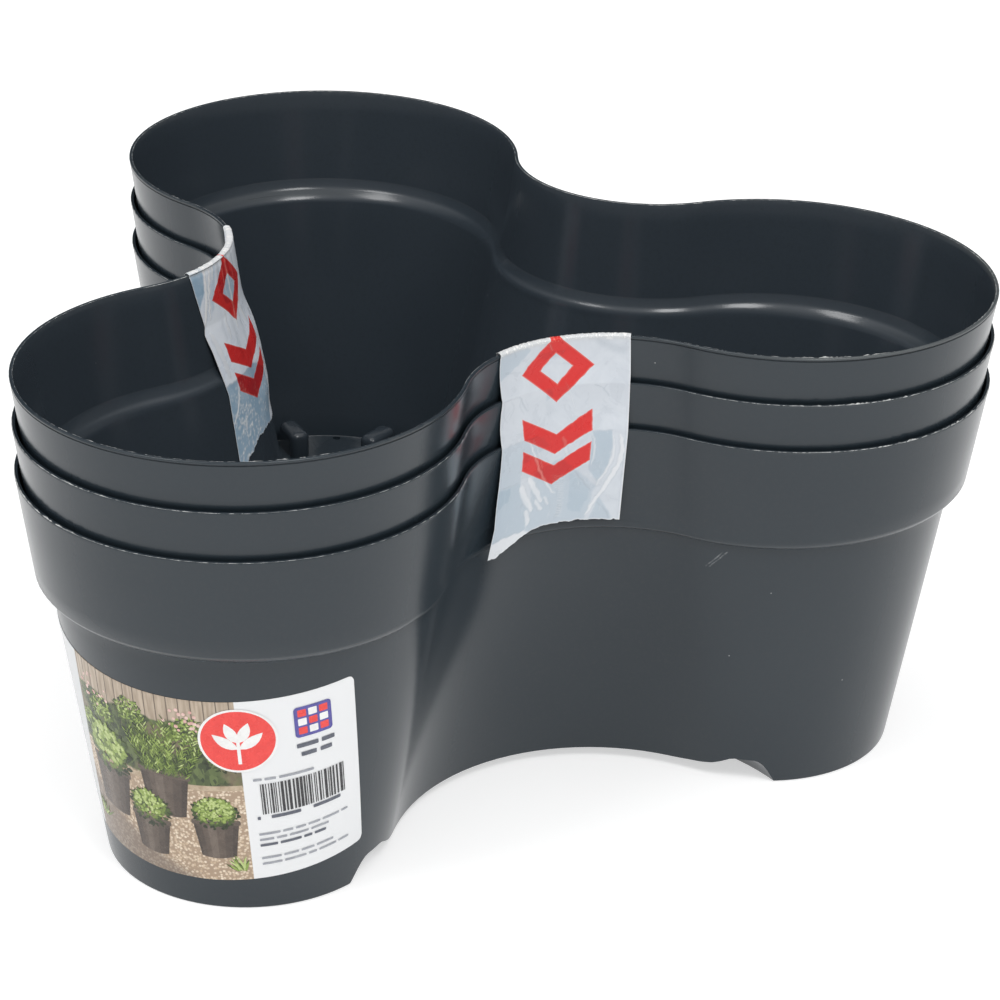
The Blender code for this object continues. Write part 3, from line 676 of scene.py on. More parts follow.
def film_strip(name, direction, outer, inner, seen, marks, shift, body, node, seed, look):
    """A strip of film over the rim. outer and inner each give, for a leg: left and right edge
    angles by depth, bottom depth by share across, and how the leg stands off (a function of
    depth and share giving inset, height and lobe distance). marks are the areas and strokes on
    the leg that shows: where it is stuck down, its ridges with their painted highlights, and its
    painted shadows."""
    cols = 130 if FINE else 60
    many, few = (176, 46) if FINE else (90, 30)
    n_out, n_in = (many, few) if seen == "out" else (few, many)
    shares = np.linspace(0.0, 1.0, cols + 1)
    rows = [("out", 1.0 - i / n_out) for i in range(n_out + 1)]      # from its torn end up to the rim
    rows += [("fold", i / 10.0) for i in range(1, 10)]
    rows += [("in", i / n_in) for i in range(n_in + 1)]
    place = np.zeros((len(rows), cols + 1, 3))
    normal = np.zeros_like(place)
    uu = np.zeros((len(rows), cols + 1))
    vv = np.zeros_like(uu)
    for r, (leg, t) in enumerate(rows):
        spec = outer if leg == "out" else inner
        for c, s in enumerate(shares):
            if leg == "fold":
                # over the lip, from just outside to just inside
                q = math.pi * t
                half = WALL / 2.0 + 0.00032
                inset = WALL / 2.0 - half * math.cos(q)
                z = RIM + 0.00010 + 0.00040 * math.sin(q)
                edge_l = lerp(outer["left"][0][1], inner["left"][0][1], t)
                edge_r = lerp(outer["right"][0][1], inner["right"][0][1], t)
                angle = lerp(edge_l, edge_r, s)
                d, depth = D_RIM, 0.0
                nx, nz = -math.cos(q), math.sin(q)
                v = lerp(0.0006, -0.0006, t)
            else:
                depth = t * table(spec["bottom"], s)
                angle = lerp(table(spec["left"], depth), table(spec["right"], depth), s)
                inset, z, d, nx, nz = spec["stand"](depth, s)
                v = (depth + 0.0006) * (1.0 if leg == "out" else -1.0)
            x, y = waist_xy(direction, d, inset, angle)
            x1, y1 = waist_xy(direction, d, inset + 0.001, angle)
            place[r, c] = (x, y, z)
            normal[r, c] = ((x1 - x) * 1000.0 * nx, (y1 - y) * 1000.0 * nx, nz)
            uu[r, c] = (s - 0.5) * WIDTH
            vv[r, c] = v
    # the drawn marks, a little wavering, on the leg that shows
    u, v = uu / MM, vv / MM * (1.0 if seen == "out" else -1.0)
    waver = np.array([[noise.noise_vector(Vector((u[r, c] * 0.45, v[r, c] * 0.45, seed))) for c in range(cols + 1)] for r in range(len(rows))])
    uw, vw = u + 0.55 * waver[..., 0], v + 0.55 * waver[..., 1]
    shows = v > -0.8
    stuck, pale, dim, raised = (np.zeros_like(u) for _ in range(4))
    # pale areas and ridge strokes are painted highlights; dim areas, ridge outlines and lines are painted shade
    for kind, shape, size, strength in marks:
        if kind == "stuck":
            stuck = np.maximum(stuck, strength * area_cover(uw, vw, shape, size))
        elif kind == "pale area":
            pale = np.maximum(pale, strength * area_cover(uw, vw, shape, size))
        elif kind == "dim area":
            dim = np.maximum(dim, strength * area_cover(uw, vw, shape, size))
        elif kind == "ridge":
            cover = line_cover(uw, vw, shape, size)
            dim = np.maximum(dim, 0.45 * strength * line_cover(uw, vw, shape, size + 0.34))
            pale = np.maximum(pale, strength * cover)
            raised = np.maximum(raised, cover * min(size, 0.9))
        elif kind == "line":
            dim = np.maximum(dim, strength * line_cover(uw, vw, shape, size))
    dim = dim * (1.0 - pale)
    stuck, pale, dim, raised = stuck * shows, pale * shows, dim * shows, raised * shows
    crumple = ridged(u, v, seed + 3.0, 0.55)
    fold = np.exp(-(vv / 0.0014) ** 2)
    lift = 0.00016 * raised + 0.00005 * ridged(u, v, seed, 0.26) + 0.00026 * fold * crumple
    place = place + normal * lift[..., None]
    thickness = 0.00006
    high, wide = len(rows), cols + 1
    grid = np.arange(high * wide).reshape(high, wide)
    low = grid + high * wide
    quads = [np.stack((grid[:-1, :-1], grid[:-1, 1:], grid[1:, 1:], grid[1:, :-1]), -1).reshape(-1, 4),
             np.stack((low[:-1, :-1], low[1:, :-1], low[1:, 1:], low[:-1, 1:]), -1).reshape(-1, 4),
             np.stack((grid[:-1, 0], grid[1:, 0], low[1:, 0], low[:-1, 0]), -1),
             np.stack((grid[1:, -1], grid[:-1, -1], low[:-1, -1], low[1:, -1]), -1),
             np.stack((grid[0, 1:], grid[0, :-1], low[0, :-1], low[0, 1:]), -1),
             np.stack((grid[-1, :-1], grid[-1, 1:], low[-1, 1:], low[-1, :-1]), -1)]
    quads = np.concatenate(quads)
    a, b, c = place[0, 0], place[0, 1], place[1, 1]
    if np.dot(np.cross(b - a, c - a), normal[0, 0]) < 0.0:
        quads = quads[:, ::-1]
    verts = np.concatenate(((place + normal * thickness).reshape(-1, 3), place.reshape(-1, 3)))
    mesh = bpy.data.meshes.new(name)
    mesh.from_pydata(verts.tolist(), [], quads.tolist())
    mesh.update()
    both = lambda field: np.concatenate((field.ravel(), field.ravel()))
    print_u, print_v = both(uu + shift[0] * MM), both(np.abs(vv) + shift[1] * MM)
    layer = mesh.uv_layers.new(name="film")
    corners = quads.ravel()
    layer.data.foreach_set("uv", np.stack((print_u[corners] * 5.0 + 0.5, print_v[corners] * 5.0 + 0.5), -1).astype(np.float32).ravel())
    obj = new_object(name, mesh)
    edge = np.minimum(shares, 1.0 - shares)[None, :] * WIDTH
    torn = np.minimum(np.abs(vv - vv[0][None, :]), np.abs(vv - vv[-1][None, :]))
    border = np.maximum(np.clip(1.0 - edge / 0.0005, 0.0, 1.0), np.clip(1.0 - torn / 0.0005, 0.0, 1.0))
    for field, values in (("stuck", stuck), ("border", border), ("pale", pale), ("dim", dim), ("fold", fold), ("crumple", crumple)):
        paint(mesh, field, both(values))
    mesh.shade_smooth()
    mesh.set_sharp_from_angle(angle=math.radians(60))
    mesh.materials.append(look)
    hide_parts(node)
    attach(obj, body)
    area = float(np.sum(np.abs(np.diff(uu, axis=1))[:-1] * np.abs(np.diff(vv, axis=0))[:, :-1]))
    length = float(np.abs(vv[0] - vv[-1]).max())
    return obj, length, area


def film_material(name, milky, milkier, wetted, bright):
    """Milky tamper film: translucent white where it stands free, bluer where it is stuck down,
    with a plain red print of diamonds and chevrons; painted highlights lighten its ridges, edges and
    crumpled fold, and painted shade darkens its creases."""
    m = Look(name)
    source = m.add("ShaderNodeUVMap", uv_map="film").outputs[0]
    split = m.add("ShaderNodeSeparateXYZ")
    m.put(split.inputs[0], source)
    u = m.math("MULTIPLY", m.math("SUBTRACT", split.outputs[0], 0.5), 200.0)      # millimetres across
    v = m.math("MULTIPLY", m.math("SUBTRACT", split.outputs[1], 0.5), 200.0)      # millimetres from the lip
    wobble = m.noise(source, 60.0, 2.0, 0.5)
    wob = m.math("MULTIPLY", m.math("SUBTRACT", wobble, 0.5), 0.8)
    au = m.math("ABSOLUTE", m.math("ADD", m.math("ADD", u, 1.0), wob))
    av = m.math("ADD", v, wob)

    def band(value, low, high):
        return m.math("MULTIPLY", m.span(value, low - 0.10, low + 0.10, 0.0, 1.0, False), m.span(value, high - 0.10, high + 0.10, 1.0, 0.0, False))

    def marks(thin):
        # a hollow diamond, and a pair of chevrons below it; thin draws their edges in
        across = m.math("ADD", m.math("MULTIPLY", au, 0.94 / 1.36), m.math("MULTIPLY", m.math("ABSOLUTE", m.math("SUBTRACT", av, 11.4)), 0.94 / 1.28))
        diamond = band(across, 4.25 + thin, 9.6 - thin)
        fall = m.math("SUBTRACT", av, m.math("MULTIPLY", m.math("SUBTRACT", 13.6, au), 0.60))
        bars = m.math("MAXIMUM", band(fall, 28.4 + thin, 36.2 - thin), band(fall, 40.6 + thin, 48.2 - thin))
        return m.math("MAXIMUM", diamond, m.math("MULTIPLY", bars, m.span(au, 13.5 - thin, 13.7 - thin, 1.0, 0.0, False)))

    red, core = marks(0.0), marks(0.42)
    stuck, border, pale, dim = (m.attribute(word) for word in ("stuck", "border", "pale", "dim"))
    fold, crumple = m.attribute("fold"), m.attribute("crumple")
    cloud = m.noise(source, 16.0, 4.0, 0.6, 0.8)
    speck = m.noise(source, 170.0, 2.0, 0.6)
    streak = m.noise(m.coords("UV", (1.0, 0.22, 1.0)), 90.0, 3.0, 0.7)
    wet = m.math("MULTIPLY", stuck, m.span(cloud, 0.30, 0.62, 0.72, 1.0))
    wet = m.math("MULTIPLY", wet, m.span(speck, 0.28, 0.42, 0.78, 1.0))
    free = m.mix(m.span(cloud, 0.32, 0.68), milky, milkier)
    base = m.mix(wet, free, wetted)
    base = m.mix(m.math("MULTIPLY", m.span(streak, 0.60, 0.76), 0.22), base, (0.76, 0.78, 0.81))
    ink = m.mix(m.math("MULTIPLY", wet, 1.0), (0.690, 0.017, 0.014), (0.430, 0.013, 0.016))
    ink = m.mix(m.span(speck, 0.48, 0.72, 0.0, 0.30), ink, (0.72, 0.034, 0.026))
    ink = m.mix(m.math("SUBTRACT", 1.0, core), ink, (0.72, 0.110, 0.090))
    worn = m.span(m.noise(source, 130.0, 3.0, 0.7), 0.68, 0.76, 0.98, 0.45)
    colour = m.mix(m.math("MULTIPLY", red, worn), base, ink)
    # painted highlight: pale marks lighten the film along its ridges and over trapped bubbles; pale areas also mark
    # where it lifts off the pot
    light = m.mix(red, bright, (0.78, 0.24, 0.205))
    colour = m.mix(m.math("MULTIPLY", pale, 0.92), colour, light)
    # painted shade: dim marks darken the film beside its ridges, along its creases and in shadow patches
    shade = m.mix(red, (0.40, 0.455, 0.51), (0.33, 0.012, 0.016))
    colour = m.mix(dim, colour, shade)
    colour = m.mix(m.math("MULTIPLY", fold, 0.75), colour, m.mix(red, (0.60, 0.605, 0.60), (0.66, 0.028, 0.022)))
    # white flecks on the fold: torn white bits, plus painted highlights on its crumple ridges
    fleck = m.math("MULTIPLY", m.span(fold, 0.30, 0.80), m.span(m.noise(source, 330.0, 3.0, 0.6), 0.52, 0.62))
    fleck = m.math("MAXIMUM", fleck, m.math("MULTIPLY", m.span(fold, 0.45, 0.90), m.span(crumple, 0.70, 0.90)))
    colour = m.mix(m.math("MULTIPLY", fleck, 0.9), colour, m.mix(red, (0.88, 0.87, 0.85), (0.80, 0.22, 0.18)))
    # painted highlight: a pale line along the film's cut and torn edges
    colour = m.mix(m.math("MULTIPLY", border, 0.80), colour, (0.80, 0.815, 0.835))
    height = m.math("ADD", m.math("MULTIPLY", m.noise(source, 240.0, 4.0, 0.65), 0.6), m.math("MULTIPLY", streak, 0.4))
    m.set(Base_Color=colour, Roughness=m.span(cloud, 0.3, 0.7, 0.24, 0.36), Normal=m.bump(height, 0.00010, 0.5))
    m.shader.inputs["IOR"].default_value = 1.46
    m.shader.inputs["Specular IOR Level"].default_value = 0.36
    return m.mat


# the last colour of each is the painted highlight on the film's ridges
front_look = film_material("front_film_look", (0.590, 0.632, 0.684), (0.652, 0.692, 0.740), (0.325, 0.440, 0.530), (0.830, 0.845, 0.865))
# the left tape's inner leg is painted lighter, a painted glow standing in for the light that comes through the film
left_look = film_material("left_film_look", (0.800, 0.860, 0.950), (0.890, 0.940, 1.000), (0.340, 0.495, 0.635), (0.985, 0.990, 0.995))


def outer_stand(pull, close_in):
    """How an outer leg hangs: on the three rims, drawn in a little between them, and easing
    towards the lowest band under the last rim."""
    def stand(depth, s):
        d_mm = depth / MM
        wave = 0.0
        for rim_at in (0.0, 17.74):
            if rim_at < d_mm < rim_at + 17.74:
                wave = math.sin(math.pi * (d_mm - rim_at) / 17.74) ** 0.8
        inset = -0.00042 + pull * wave
        if d_mm > 35.5:
            inset = -0.00042 + close_in * smooth(35.5, 66.0, d_mm)
        return inset, RIM - depth, D_RIM, -1.0, 0.0
    return stand


SPAN_HIGH, SPAN_LOW = 0.1285, 0.1052     # an inner leg spans the ledge in a straight line between these


def inner_stand(bulge):
    """How an inner leg lies: on the band's inside, straight across the ledge and down the body's
    inside, standing off by a bulge towards its right."""
    def stand(depth, s):
        z = HEIGHT - depth
        if SPAN_LOW < z < SPAN_HIGH:
            (i0, d0), (i1, d1) = inside_at(SPAN_HIGH), inside_at(SPAN_LOW)
            t = (SPAN_HIGH - z) / (SPAN_HIGH - SPAN_LOW)
            inset, d = lerp(i0, i1, t), lerp(d0, d1, t)
        else:
            inset, d = inside_at(max(z, FLOOR + 0.001))
        d_mm = depth / MM
        off = bulge * smooth(0.42, 0.66, s) * smooth(24.0, 38.0, d_mm) * smooth(70.0, 56.0, d_mm)
        tilt = 0.30 * smooth(SPAN_LOW - 0.002, SPAN_LOW + 0.002, z) * smooth(SPAN_HIGH + 0.002, SPAN_HIGH - 0.002, z)
        k = math.hypot(1.0, tilt)
        return inset + 0.00030 + off, z + 2.0 * PITCH, d, 1.0 / k, tilt / k
    return stand


def ragged_bottom(points, seed, size):
    """A torn lower edge: the table, with small teeth."""
    out = []
    for i in range(101):
        s = i / 100.0
        n = noise.noise(Vector((s * 19.0, seed, 0.0))) * 0.5 + noise.noise(Vector((s * 61.0, seed, 4.0))) * 0.5
        out.append((s, (table(points, s) + size * n) * MM))
    return out


front_outer = {"left": [(0.0, 26.2), (10.7 * MM, 25.3), (19.6 * MM, 24.3), (28.7 * MM, 24.6), (37.1 * MM, 24.0), (48.3 * MM, 24.5), (66.8 * MM, 25.9), (77.6 * MM, 29.9)],
               "right": [(0.0, -31.0), (13.9 * MM, -31.6), (37.1 * MM, -31.6), (56.4 * MM, -30.5), (71.3 * MM, -29.7)],
               "bottom": ragged_bottom([(0.0, 77.6), (0.08, 78.2), (0.155, 77.3), (0.28, 74.6), (0.365, 72.5), (0.46, 71.7), (0.69, 71.4), (1.0, 71.5)], 2.0, 1.0),
               "stand": outer_stand(0.0007, 0.0012)}
front_inner = {"left": [(0.0, 25.6), (40 * MM, 22.5), (80 * MM, 19.5)],
               "right": [(0.0, -31.0), (40 * MM, -27.5), (80 * MM, -25.0)],
               "bottom": ragged_bottom([(0.0, 69.0), (0.5, 71.5), (1.0, 74.0)], 5.0, 0.7),
               "stand": inner_stand(0.0)}
# in these marks, pale areas and ridges paint highlights, and dim areas and lines paint shade
# marks: kind, shape in millimetres (across, down from the lip), softness or half width, strength
front_marks = [
    ("stuck", [(-26, 0.8), (-13, 1), (-11, 2.5), (-16, 6.5), (-19, 8.5), (-26, 10.8)], 0.5, 0.42),
    ("stuck", [(-8, 4.8), (3, 4.8), (1.5, 6.6), (-4, 7.8), (-8, 6.8)], 0.5, 0.38),
    ("stuck", [(-26, 36.8), (-7.5, 36.3), (-3.6, 40.5), (-14.3, 46), (-14.3, 53), (-26, 53)], 0.4, 0.36),
    ("stuck", [(-26, 52.8), (-14.3, 53), (-14, 56), (-10, 62), (-9, 72.5), (-26, 72.5)], 0.4, 0.50),
    ("stuck", [(-26, 53), (-18.5, 53), (-19, 59), (-26, 62)], 1.2, 0.72),
    ("stuck", [(12.4, 36.6), (19.6, 36.6), (20.6, 42), (19.5, 50), (16, 57), (12.4, 52)], 0.4, 0.56),
    ("stuck", [(-9, 50), (2, 46.5), (12.3, 55.5), (15.5, 58.5), (12.5, 73), (-9, 74)], 0.8, 0.40),
    ("stuck", [(5, 52), (9, 54), (14.5, 60), (11.5, 70), (6, 68)], 1.6, 0.58),
    ("stuck", [(17.5, 63), (22.5, 71), (22, 74), (13.5, 74)], 0.6, 0.42),
    ("stuck", [(-5, 19.2), (-3, 18.8), (-2.6, 21.5), (-5, 23.5)], 0.6, 0.38),
    ("ridge", [(22.5, 37.5), (24.2, 44), (22.6, 52), (17.5, 61.5), (12.9, 70.2)], 0.80, 0.80),
    ("ridge", [(20.5, 38.2), (21.4, 45), (19.4, 52), (15.4, 58.6)], 0.42, 0.62),
    ("ridge", [(12.6, 36.8), (13.9, 43), (13.2, 50.5)], 0.40, 0.60),
    ("ridge", [(-12.6, 36.6), (-9.5, 42.5), (-6.6, 49.5), (-3.5, 55.5), (0.8, 60.2)], 0.45, 0.80),
    ("ridge", [(-10.5, 36.8), (-7.4, 43), (-5.4, 49.5)], 0.20, 0.50),
    ("ridge", [(-11, 51.5), (-8, 56.5), (-4.3, 62.5)], 1.00, 0.75),
    ("ridge", [(-14, 54), (-12, 59), (-8, 65.5)], 1.30, 0.70),
    ("ridge", [(-10.8, 64.5), (-10, 67.5), (-8.8, 70.8)], 0.95, 0.75),
    ("ridge", [(-6.8, 61.5), (-5.5, 64), (-3.8, 65.8)], 0.80, 0.70),
    ("ridge", [(-3.4, 60.8), (-2.5, 62.5), (-1.4, 64.2)], 0.60, 0.62),
    ("ridge", [(1.6, 38), (3.0, 42), (4.0, 45.5)], 0.55, 0.40),
    ("ridge", [(2.2, 17), (4.6, 23), (6.2, 28)], 0.22, 0.35),
    ("ridge", [(-3.8, 0.6), (-3.1, 2.6), (-1.9, 4.6)], 0.22, 0.80),
    ("pale area", [(-27, 72.7), (-10.2, 72.6), (-7, 74), (-18, 80), (-27, 80)], 0.3, 0.62),
    ("pale area", [(17.0, 1.7), (18.3, 0.2), (19.4, 1.5)], 0.3, 1.0),
    ("dim area", [(12, 0.8), (15.5, 4.2), (19, 6.6), (23.5, 7.2), (25, 4.4), (21.6, 4.4), (18, 3.2), (15, 0.9)], 1.8, 0.30),
    ("dim area", [(-6, 24), (-3, 24), (0, 28), (-4, 30)], 2.0, 0.14),
    ("line", [(-26, 36.7), (-16, 36.4), (-8, 36.3)], 0.16, 0.50),
    ("line", [(13, 36.5), (20, 36.4)], 0.16, 0.50),
    ("line", [(-26, 52.7), (-20, 52.5), (-14.6, 52.9)], 0.20, 0.60),
    ("line", [(-26, 72.5), (-18, 72.3), (-10.5, 72.4)], 0.18, 0.55),
    ("line", [(-26, 18.9), (-21, 18.8), (-16.5, 19.2)], 0.15, 0.45),
    ("line", [(-16.9, 18.5), (-15, 22.5), (-12.3, 25.8)], 0.24, 0.60),
    ("line", [(-16.6, 19), (-16.2, 23), (-14.0, 26.2)], 0.16, 0.45),
    ("line", [(-14.2, 20.5), (-12.6, 23), (-11.8, 25.6)], 0.14, 0.35),
    ("line", [(-24.2, 19.5), (-24.4, 24), (-21.5, 27.4)], 0.18, 0.42),
    ("line", [(-21.0, 19.5), (-18.4, 22.5), (-20.6, 26.4)], 0.18, 0.42),
    ("line", [(-24.6, 29), (-22.4, 25), (-19.4, 22.8)], 0.14, 0.35),
    ("line", [(13, 18.6), (16.2, 20.6), (18.4, 23.8)], 0.22, 0.62),
    ("line", [(15.8, 21.2), (16.6, 19.9), (17.4, 18.8)], 0.18, 0.50),
    ("line", [(18.2, 24.2), (19.4, 25.8), (21, 27.2)], 0.14, 0.35),
    ("line", [(21, 19.2), (21.2, 23), (20.9, 27.2)], 0.12, 0.35),
    ("line", [(7.5, 52), (10.5, 56), (14.3, 60.8)], 0.30, 0.62),
    ("line", [(16.6, 64.4), (19.5, 68), (22, 71.4)], 0.26, 0.55),
    ("line", [(24.6, 27), (24.7, 48), (24.5, 71)], 0.14, 0.40),
    ("line", [(1.2, 53.2), (1.5, 57), (1.5, 62)], 0.14, 0.45),
    ("line", [(-3.6, 54), (-0.5, 57), (0.2, 60)], 0.14, 0.35)]
for k in range(17):
    row = 52.8 + 1.02 * k
    start = -1.2 + 3.0 * smooth(55.0, 61.0, row)
    front_marks.append(("ridge", [(start, row), (4.2, row + 1.1 - 0.04 * k)], 0.20, 0.42))
rng = random.Random(5)
# short fine wrinkles, drawn as painted shade lines and painted highlight ridges
for k in range(26):                                   # short fine wrinkles
    x, y = rng.uniform(-24, 22), rng.choice((rng.uniform(20, 36), rng.uniform(54, 70)))
    a, l = rng.uniform(0.7, 2.0), rng.uniform(1.5, 4.5)
    front_marks.append((rng.choice(("line", "ridge")), [(x, y), (x + 0.5 * l * math.cos(a) + rng.uniform(-0.4, 0.4), y + 0.5 * l * math.sin(a)), (x + l * math.cos(a), y + l * math.sin(a))], 0.13, rng.uniform(0.18, 0.36)))

left_outer = {"left": [(0.0, -35.8), (40 * MM, -34.0), (72 * MM, -33.0)],
              "right": [(0.0, 21.0), (40 * MM, 21.5), (72 * MM, 22.0)],
              "bottom": ragged_bottom([(0.0, 76.0), (0.3, 73.0), (0.6, 71.0), (1.0, 71.5)], 8.0, 0.6),
              "stand": outer_stand(0.0007, 0.0012)}
left_inner = {"left": [(0.0, -35.8), (20.5 * MM, -31.0), (23.6 * MM, -31.8), (31.0 * MM, -29.4), (42.9 * MM, -26.7), (48.2 * MM, -25.5), (60.6 * MM, -25.8), (72.8 * MM, -26.1)],
              "right": [(0.0, 21.0), (20 * MM, 21.0), (43 * MM, 19.6), (73 * MM, 18.0)],
              "bottom": ragged_bottom([(0.0, 79.0), (0.11, 75.0), (0.3, 70.6), (0.55, 70.5), (0.78, 73.0), (1.0, 74.0)], 11.0, 1.6),
              "stand": inner_stand(0.0015)}
# in these marks too, ridges paint highlights, and dim areas and lines paint shade
left_marks = [
    ("stuck", [(-27, -1), (-18.5, -1), (-20.5, 8), (-27, 17)], 0.6, 1.0),
    ("stuck", [(-11.5, 12), (-9.5, 8), (-4, 6.6), (1, 8.5), (2, 12.5), (-1, 17), (-4, 19), (-9, 17.5)], 0.5, 0.80),
    ("stuck", [(-27, 45.5), (-14, 45.0), (-2, 44.5), (3, 47), (7.5, 50), (10, 58), (8, 76), (-27, 82)], 0.6, 1.0),
    ("stuck", [(-13.5, 1), (-10, 0), (-14, 8), (-18, 16), (-20, 18), (-17.5, 10)], 0.8, 0.45),
    ("ridge", [(-17.6, -2), (-19.6, 8), (-21.4, 13), (-25.2, 21)], 0.75, 1.0),
    ("ridge", [(-14.2, -1.5), (-16.2, 4), (-18.8, 11), (-22.0, 20)], 0.42, 1.0),
    ("ridge", [(-12.4, -1.5), (-13.4, 2), (-14.8, 6)], 0.45, 0.95),
    ("ridge", [(-10.2, 0), (-11.6, 6), (-12.6, 12)], 0.20, 0.45),
    ("ridge", [(-7.6, 1), (-7.5, 9), (-7.3, 16.5)], 0.28, 0.60),
    ("ridge", [(-3.6, 1), (-3.8, 12), (-4.4, 20), (-5, 29)], 0.75, 0.75),
    ("ridge", [(1.6, 0), (1.4, 8), (1.0, 17)], 0.30, 0.55),
    ("ridge", [(-17.8, 46.4), (-19.6, 53), (-21.8, 57), (-25.6, 60.2)], 0.42, 1.0),
    ("ridge", [(-17, 59.6), (-16.8, 62), (-17.1, 64.6)], 0.45, 0.75),
    ("ridge", [(8.2, 36), (9.6, 46), (10.2, 56), (9.6, 69)], 0.75, 1.0),
    ("dim area", [(-10.6, -0.5), (-8.4, -0.5), (-9.6, 9.5), (-12.0, 9.5)], 0.8, 0.50),
    ("dim area", [(-6.4, -0.5), (-5.0, -0.5), (-5.0, 9), (-6.6, 9)], 0.8, 0.50),
    ("dim area", [(-2.4, -0.5), (-0.8, -0.5), (-0.6, 9), (-2.2, 9)], 0.8, 0.50),
    ("dim area", [(3.0, -0.5), (4.4, -0.5), (4.2, 20), (2.8, 20)], 1.0, 0.40),
    ("dim area", [(-9.0, 20), (-6.4, 20), (-7.4, 40), (-9.4, 40)], 1.6, 0.26),
    ("dim area", [(-1.6, 22), (0.6, 22), (0.0, 42), (-2.0, 42)], 1.6, 0.26),
    ("dim area", [(4.4, 24), (6.2, 24), (6.6, 40), (4.6, 40)], 1.6, 0.30),
    ("dim area", [(-15.5, 22), (-13.8, 22), (-14.4, 30), (-15.8, 30)], 1.2, 0.20),
    ("ridge", [(-12.4, 19), (-12.0, 26), (-12.2, 31)], 0.70, 0.45),
    ("ridge", [(-22.6, 24), (-21.4, 32), (-21.0, 43)], 1.20, 0.45),
    ("ridge", [(1.8, 18), (3.0, 24), (4.6, 30)], 0.80, 0.60),
    ("line", [(-26, 45.4), (-14, 45.0), (-3, 44.6)], 0.22, 0.55)]
rng = random.Random(11)
# trapped bubbles, drawn as short ridges: painted highlights with a painted shade rim
for count, (x0, x1), (y0, y1), much in ((150, (-24.5, -7), (56, 76), 1.0), (60, (-25, -12), (47, 58), 0.65), (50, (-8, 7), (52, 72), 0.75), (20, (-24, -16), (60, 66), 1.0)):
    for k in range(count):                            # trapped bubbles
        x, y, l = rng.uniform(x0, x1), rng.uniform(y0, y1), rng.uniform(0.3, 1.3)
        left_marks.append(("ridge", [(x, y), (x + l, y + rng.uniform(-0.3, 0.3))], rng.uniform(0.24, 0.50), much * rng.uniform(0.6, 1.0)))

for name, direction, outer, inner, seen, marks, shift, body, node, seed, look in (
        ("film_tape_front", -30.0, front_outer, front_inner, "out", front_marks, (0.0, 0.0), "front_tape_body", "tape_front", 1.0, front_look),
        ("film_tape_left", 210.0, left_outer, left_inner, "in", left_marks, (3.0, -1.6), "left_tape_body", "tape_left", 4.0, left_look)):
    strip, length, area = film_strip(name, direction, outer, inner, seen, marks, shift, body, node, seed, look)


# ---------------------------------------------------------------- label
LABEL_W, LABEL_H = 0.1436, 0.0786
LABEL_TURN, LABEL_FOOT, LABEL_CORNER = 8.07, 0.0121, 0.0022
SLOPE = math.atan((IN_FOOT - IN_BODY) / Z_STEP)
APEX = (R_LOBE - IN_FOOT) / math.sin(SLOPE)
LOW = APEX + LABEL_FOOT / math.cos(SLOPE)


def on_label(x, y, off):
    """A point of the flat label (x from its middle, y from its foot), wrapped round the lobe."""
    rho = math.hypot(LOW + y, x)
    turn = math.atan2(x, LOW + y) / math.sin(SLOPE)
    z = (rho - APEX) * math.cos(SLOPE)
    a = math.radians(-90.0)
    t = a + math.radians(LABEL_TURN) + turn
    r = R_LOBE - body_inset(z) + off
    d = d_at(z)
    return Vector((d * math.cos(a) + r * math.cos(t), d * math.sin(a) + r * math.sin(t) + AXIS_Y, z))


def cut_in(x):
    edge = LABEL_W / 2 - abs(x)
    if edge >= LABEL_CORNER:
        return 0.0
    return LABEL_CORNER - math.sqrt(max(0.0, LABEL_CORNER ** 2 - (LABEL_CORNER - edge) ** 2))


def label_sheet():
    cols, rows = 160, 60
    lift = 0.00001
    xs = [LABEL_W * (0.5 - 0.5 * math.cos(math.pi * j / cols)) - LABEL_W / 2 for j in range(cols + 1)]
    xs = [lerp(x, LABEL_W * (j / cols - 0.5), 0.72) for j, x in enumerate(xs)]
    bm = bmesh.new()
    uv = bm.loops.layers.uv.new("label")
    flat = {}
    layers = []
    for off in (lift + 0.00010, lift):
        grid = []
        for i in range(rows + 1):
            line = []
            for x in xs:
                c = cut_in(x)
                y = c + (LABEL_H - 2 * c) * i / rows
                ripple = 0.00001 * noise.noise(Vector((x * 60, y * 60, 1.0)))
                v = bm.verts.new(on_label(x, y, off + ripple))
                flat[v] = (x, y)
                line.append(v)
            grid.append(line)
        layers.append(grid)

    def face(*verts):
        f = bm.faces.new(verts)
        for loop in f.loops:
            x, y = flat[loop.vert]
            loop[uv].uv = (x * 5.0 + 0.5, y * 5.0)

    top, low = layers
    for i in range(rows):
        for j in range(cols):
            face(top[i][j], top[i][j + 1], top[i + 1][j + 1], top[i + 1][j])
            face(low[i][j], low[i + 1][j], low[i + 1][j + 1], low[i][j + 1])
        face(top[i][0], top[i + 1][0], low[i + 1][0], low[i][0])
        face(top[i + 1][-1], top[i][-1], low[i][-1], low[i + 1][-1])
    for j in range(cols):
        face(top[0][j + 1], top[0][j], low[0][j], low[0][j + 1])
        face(top[-1][j], top[-1][j + 1], low[-1][j + 1], low[-1][j])
    bmesh.ops.recalc_face_normals(bm, faces=bm.faces)
    obj = new_object("printed_label", mesh_from(bm, "printed_label"))
    obj.data.shade_smooth()
    obj.data.set_sharp_from_angle(angle=math.radians(60))
    obj.data.materials.append(label_ground_material())
    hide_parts("label")
    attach(obj, "bottom_pot_body")


PANEL_X, MARGIN_X = 0.0300, -0.0386     # the printed picture lies between a plain margin and a plain panel


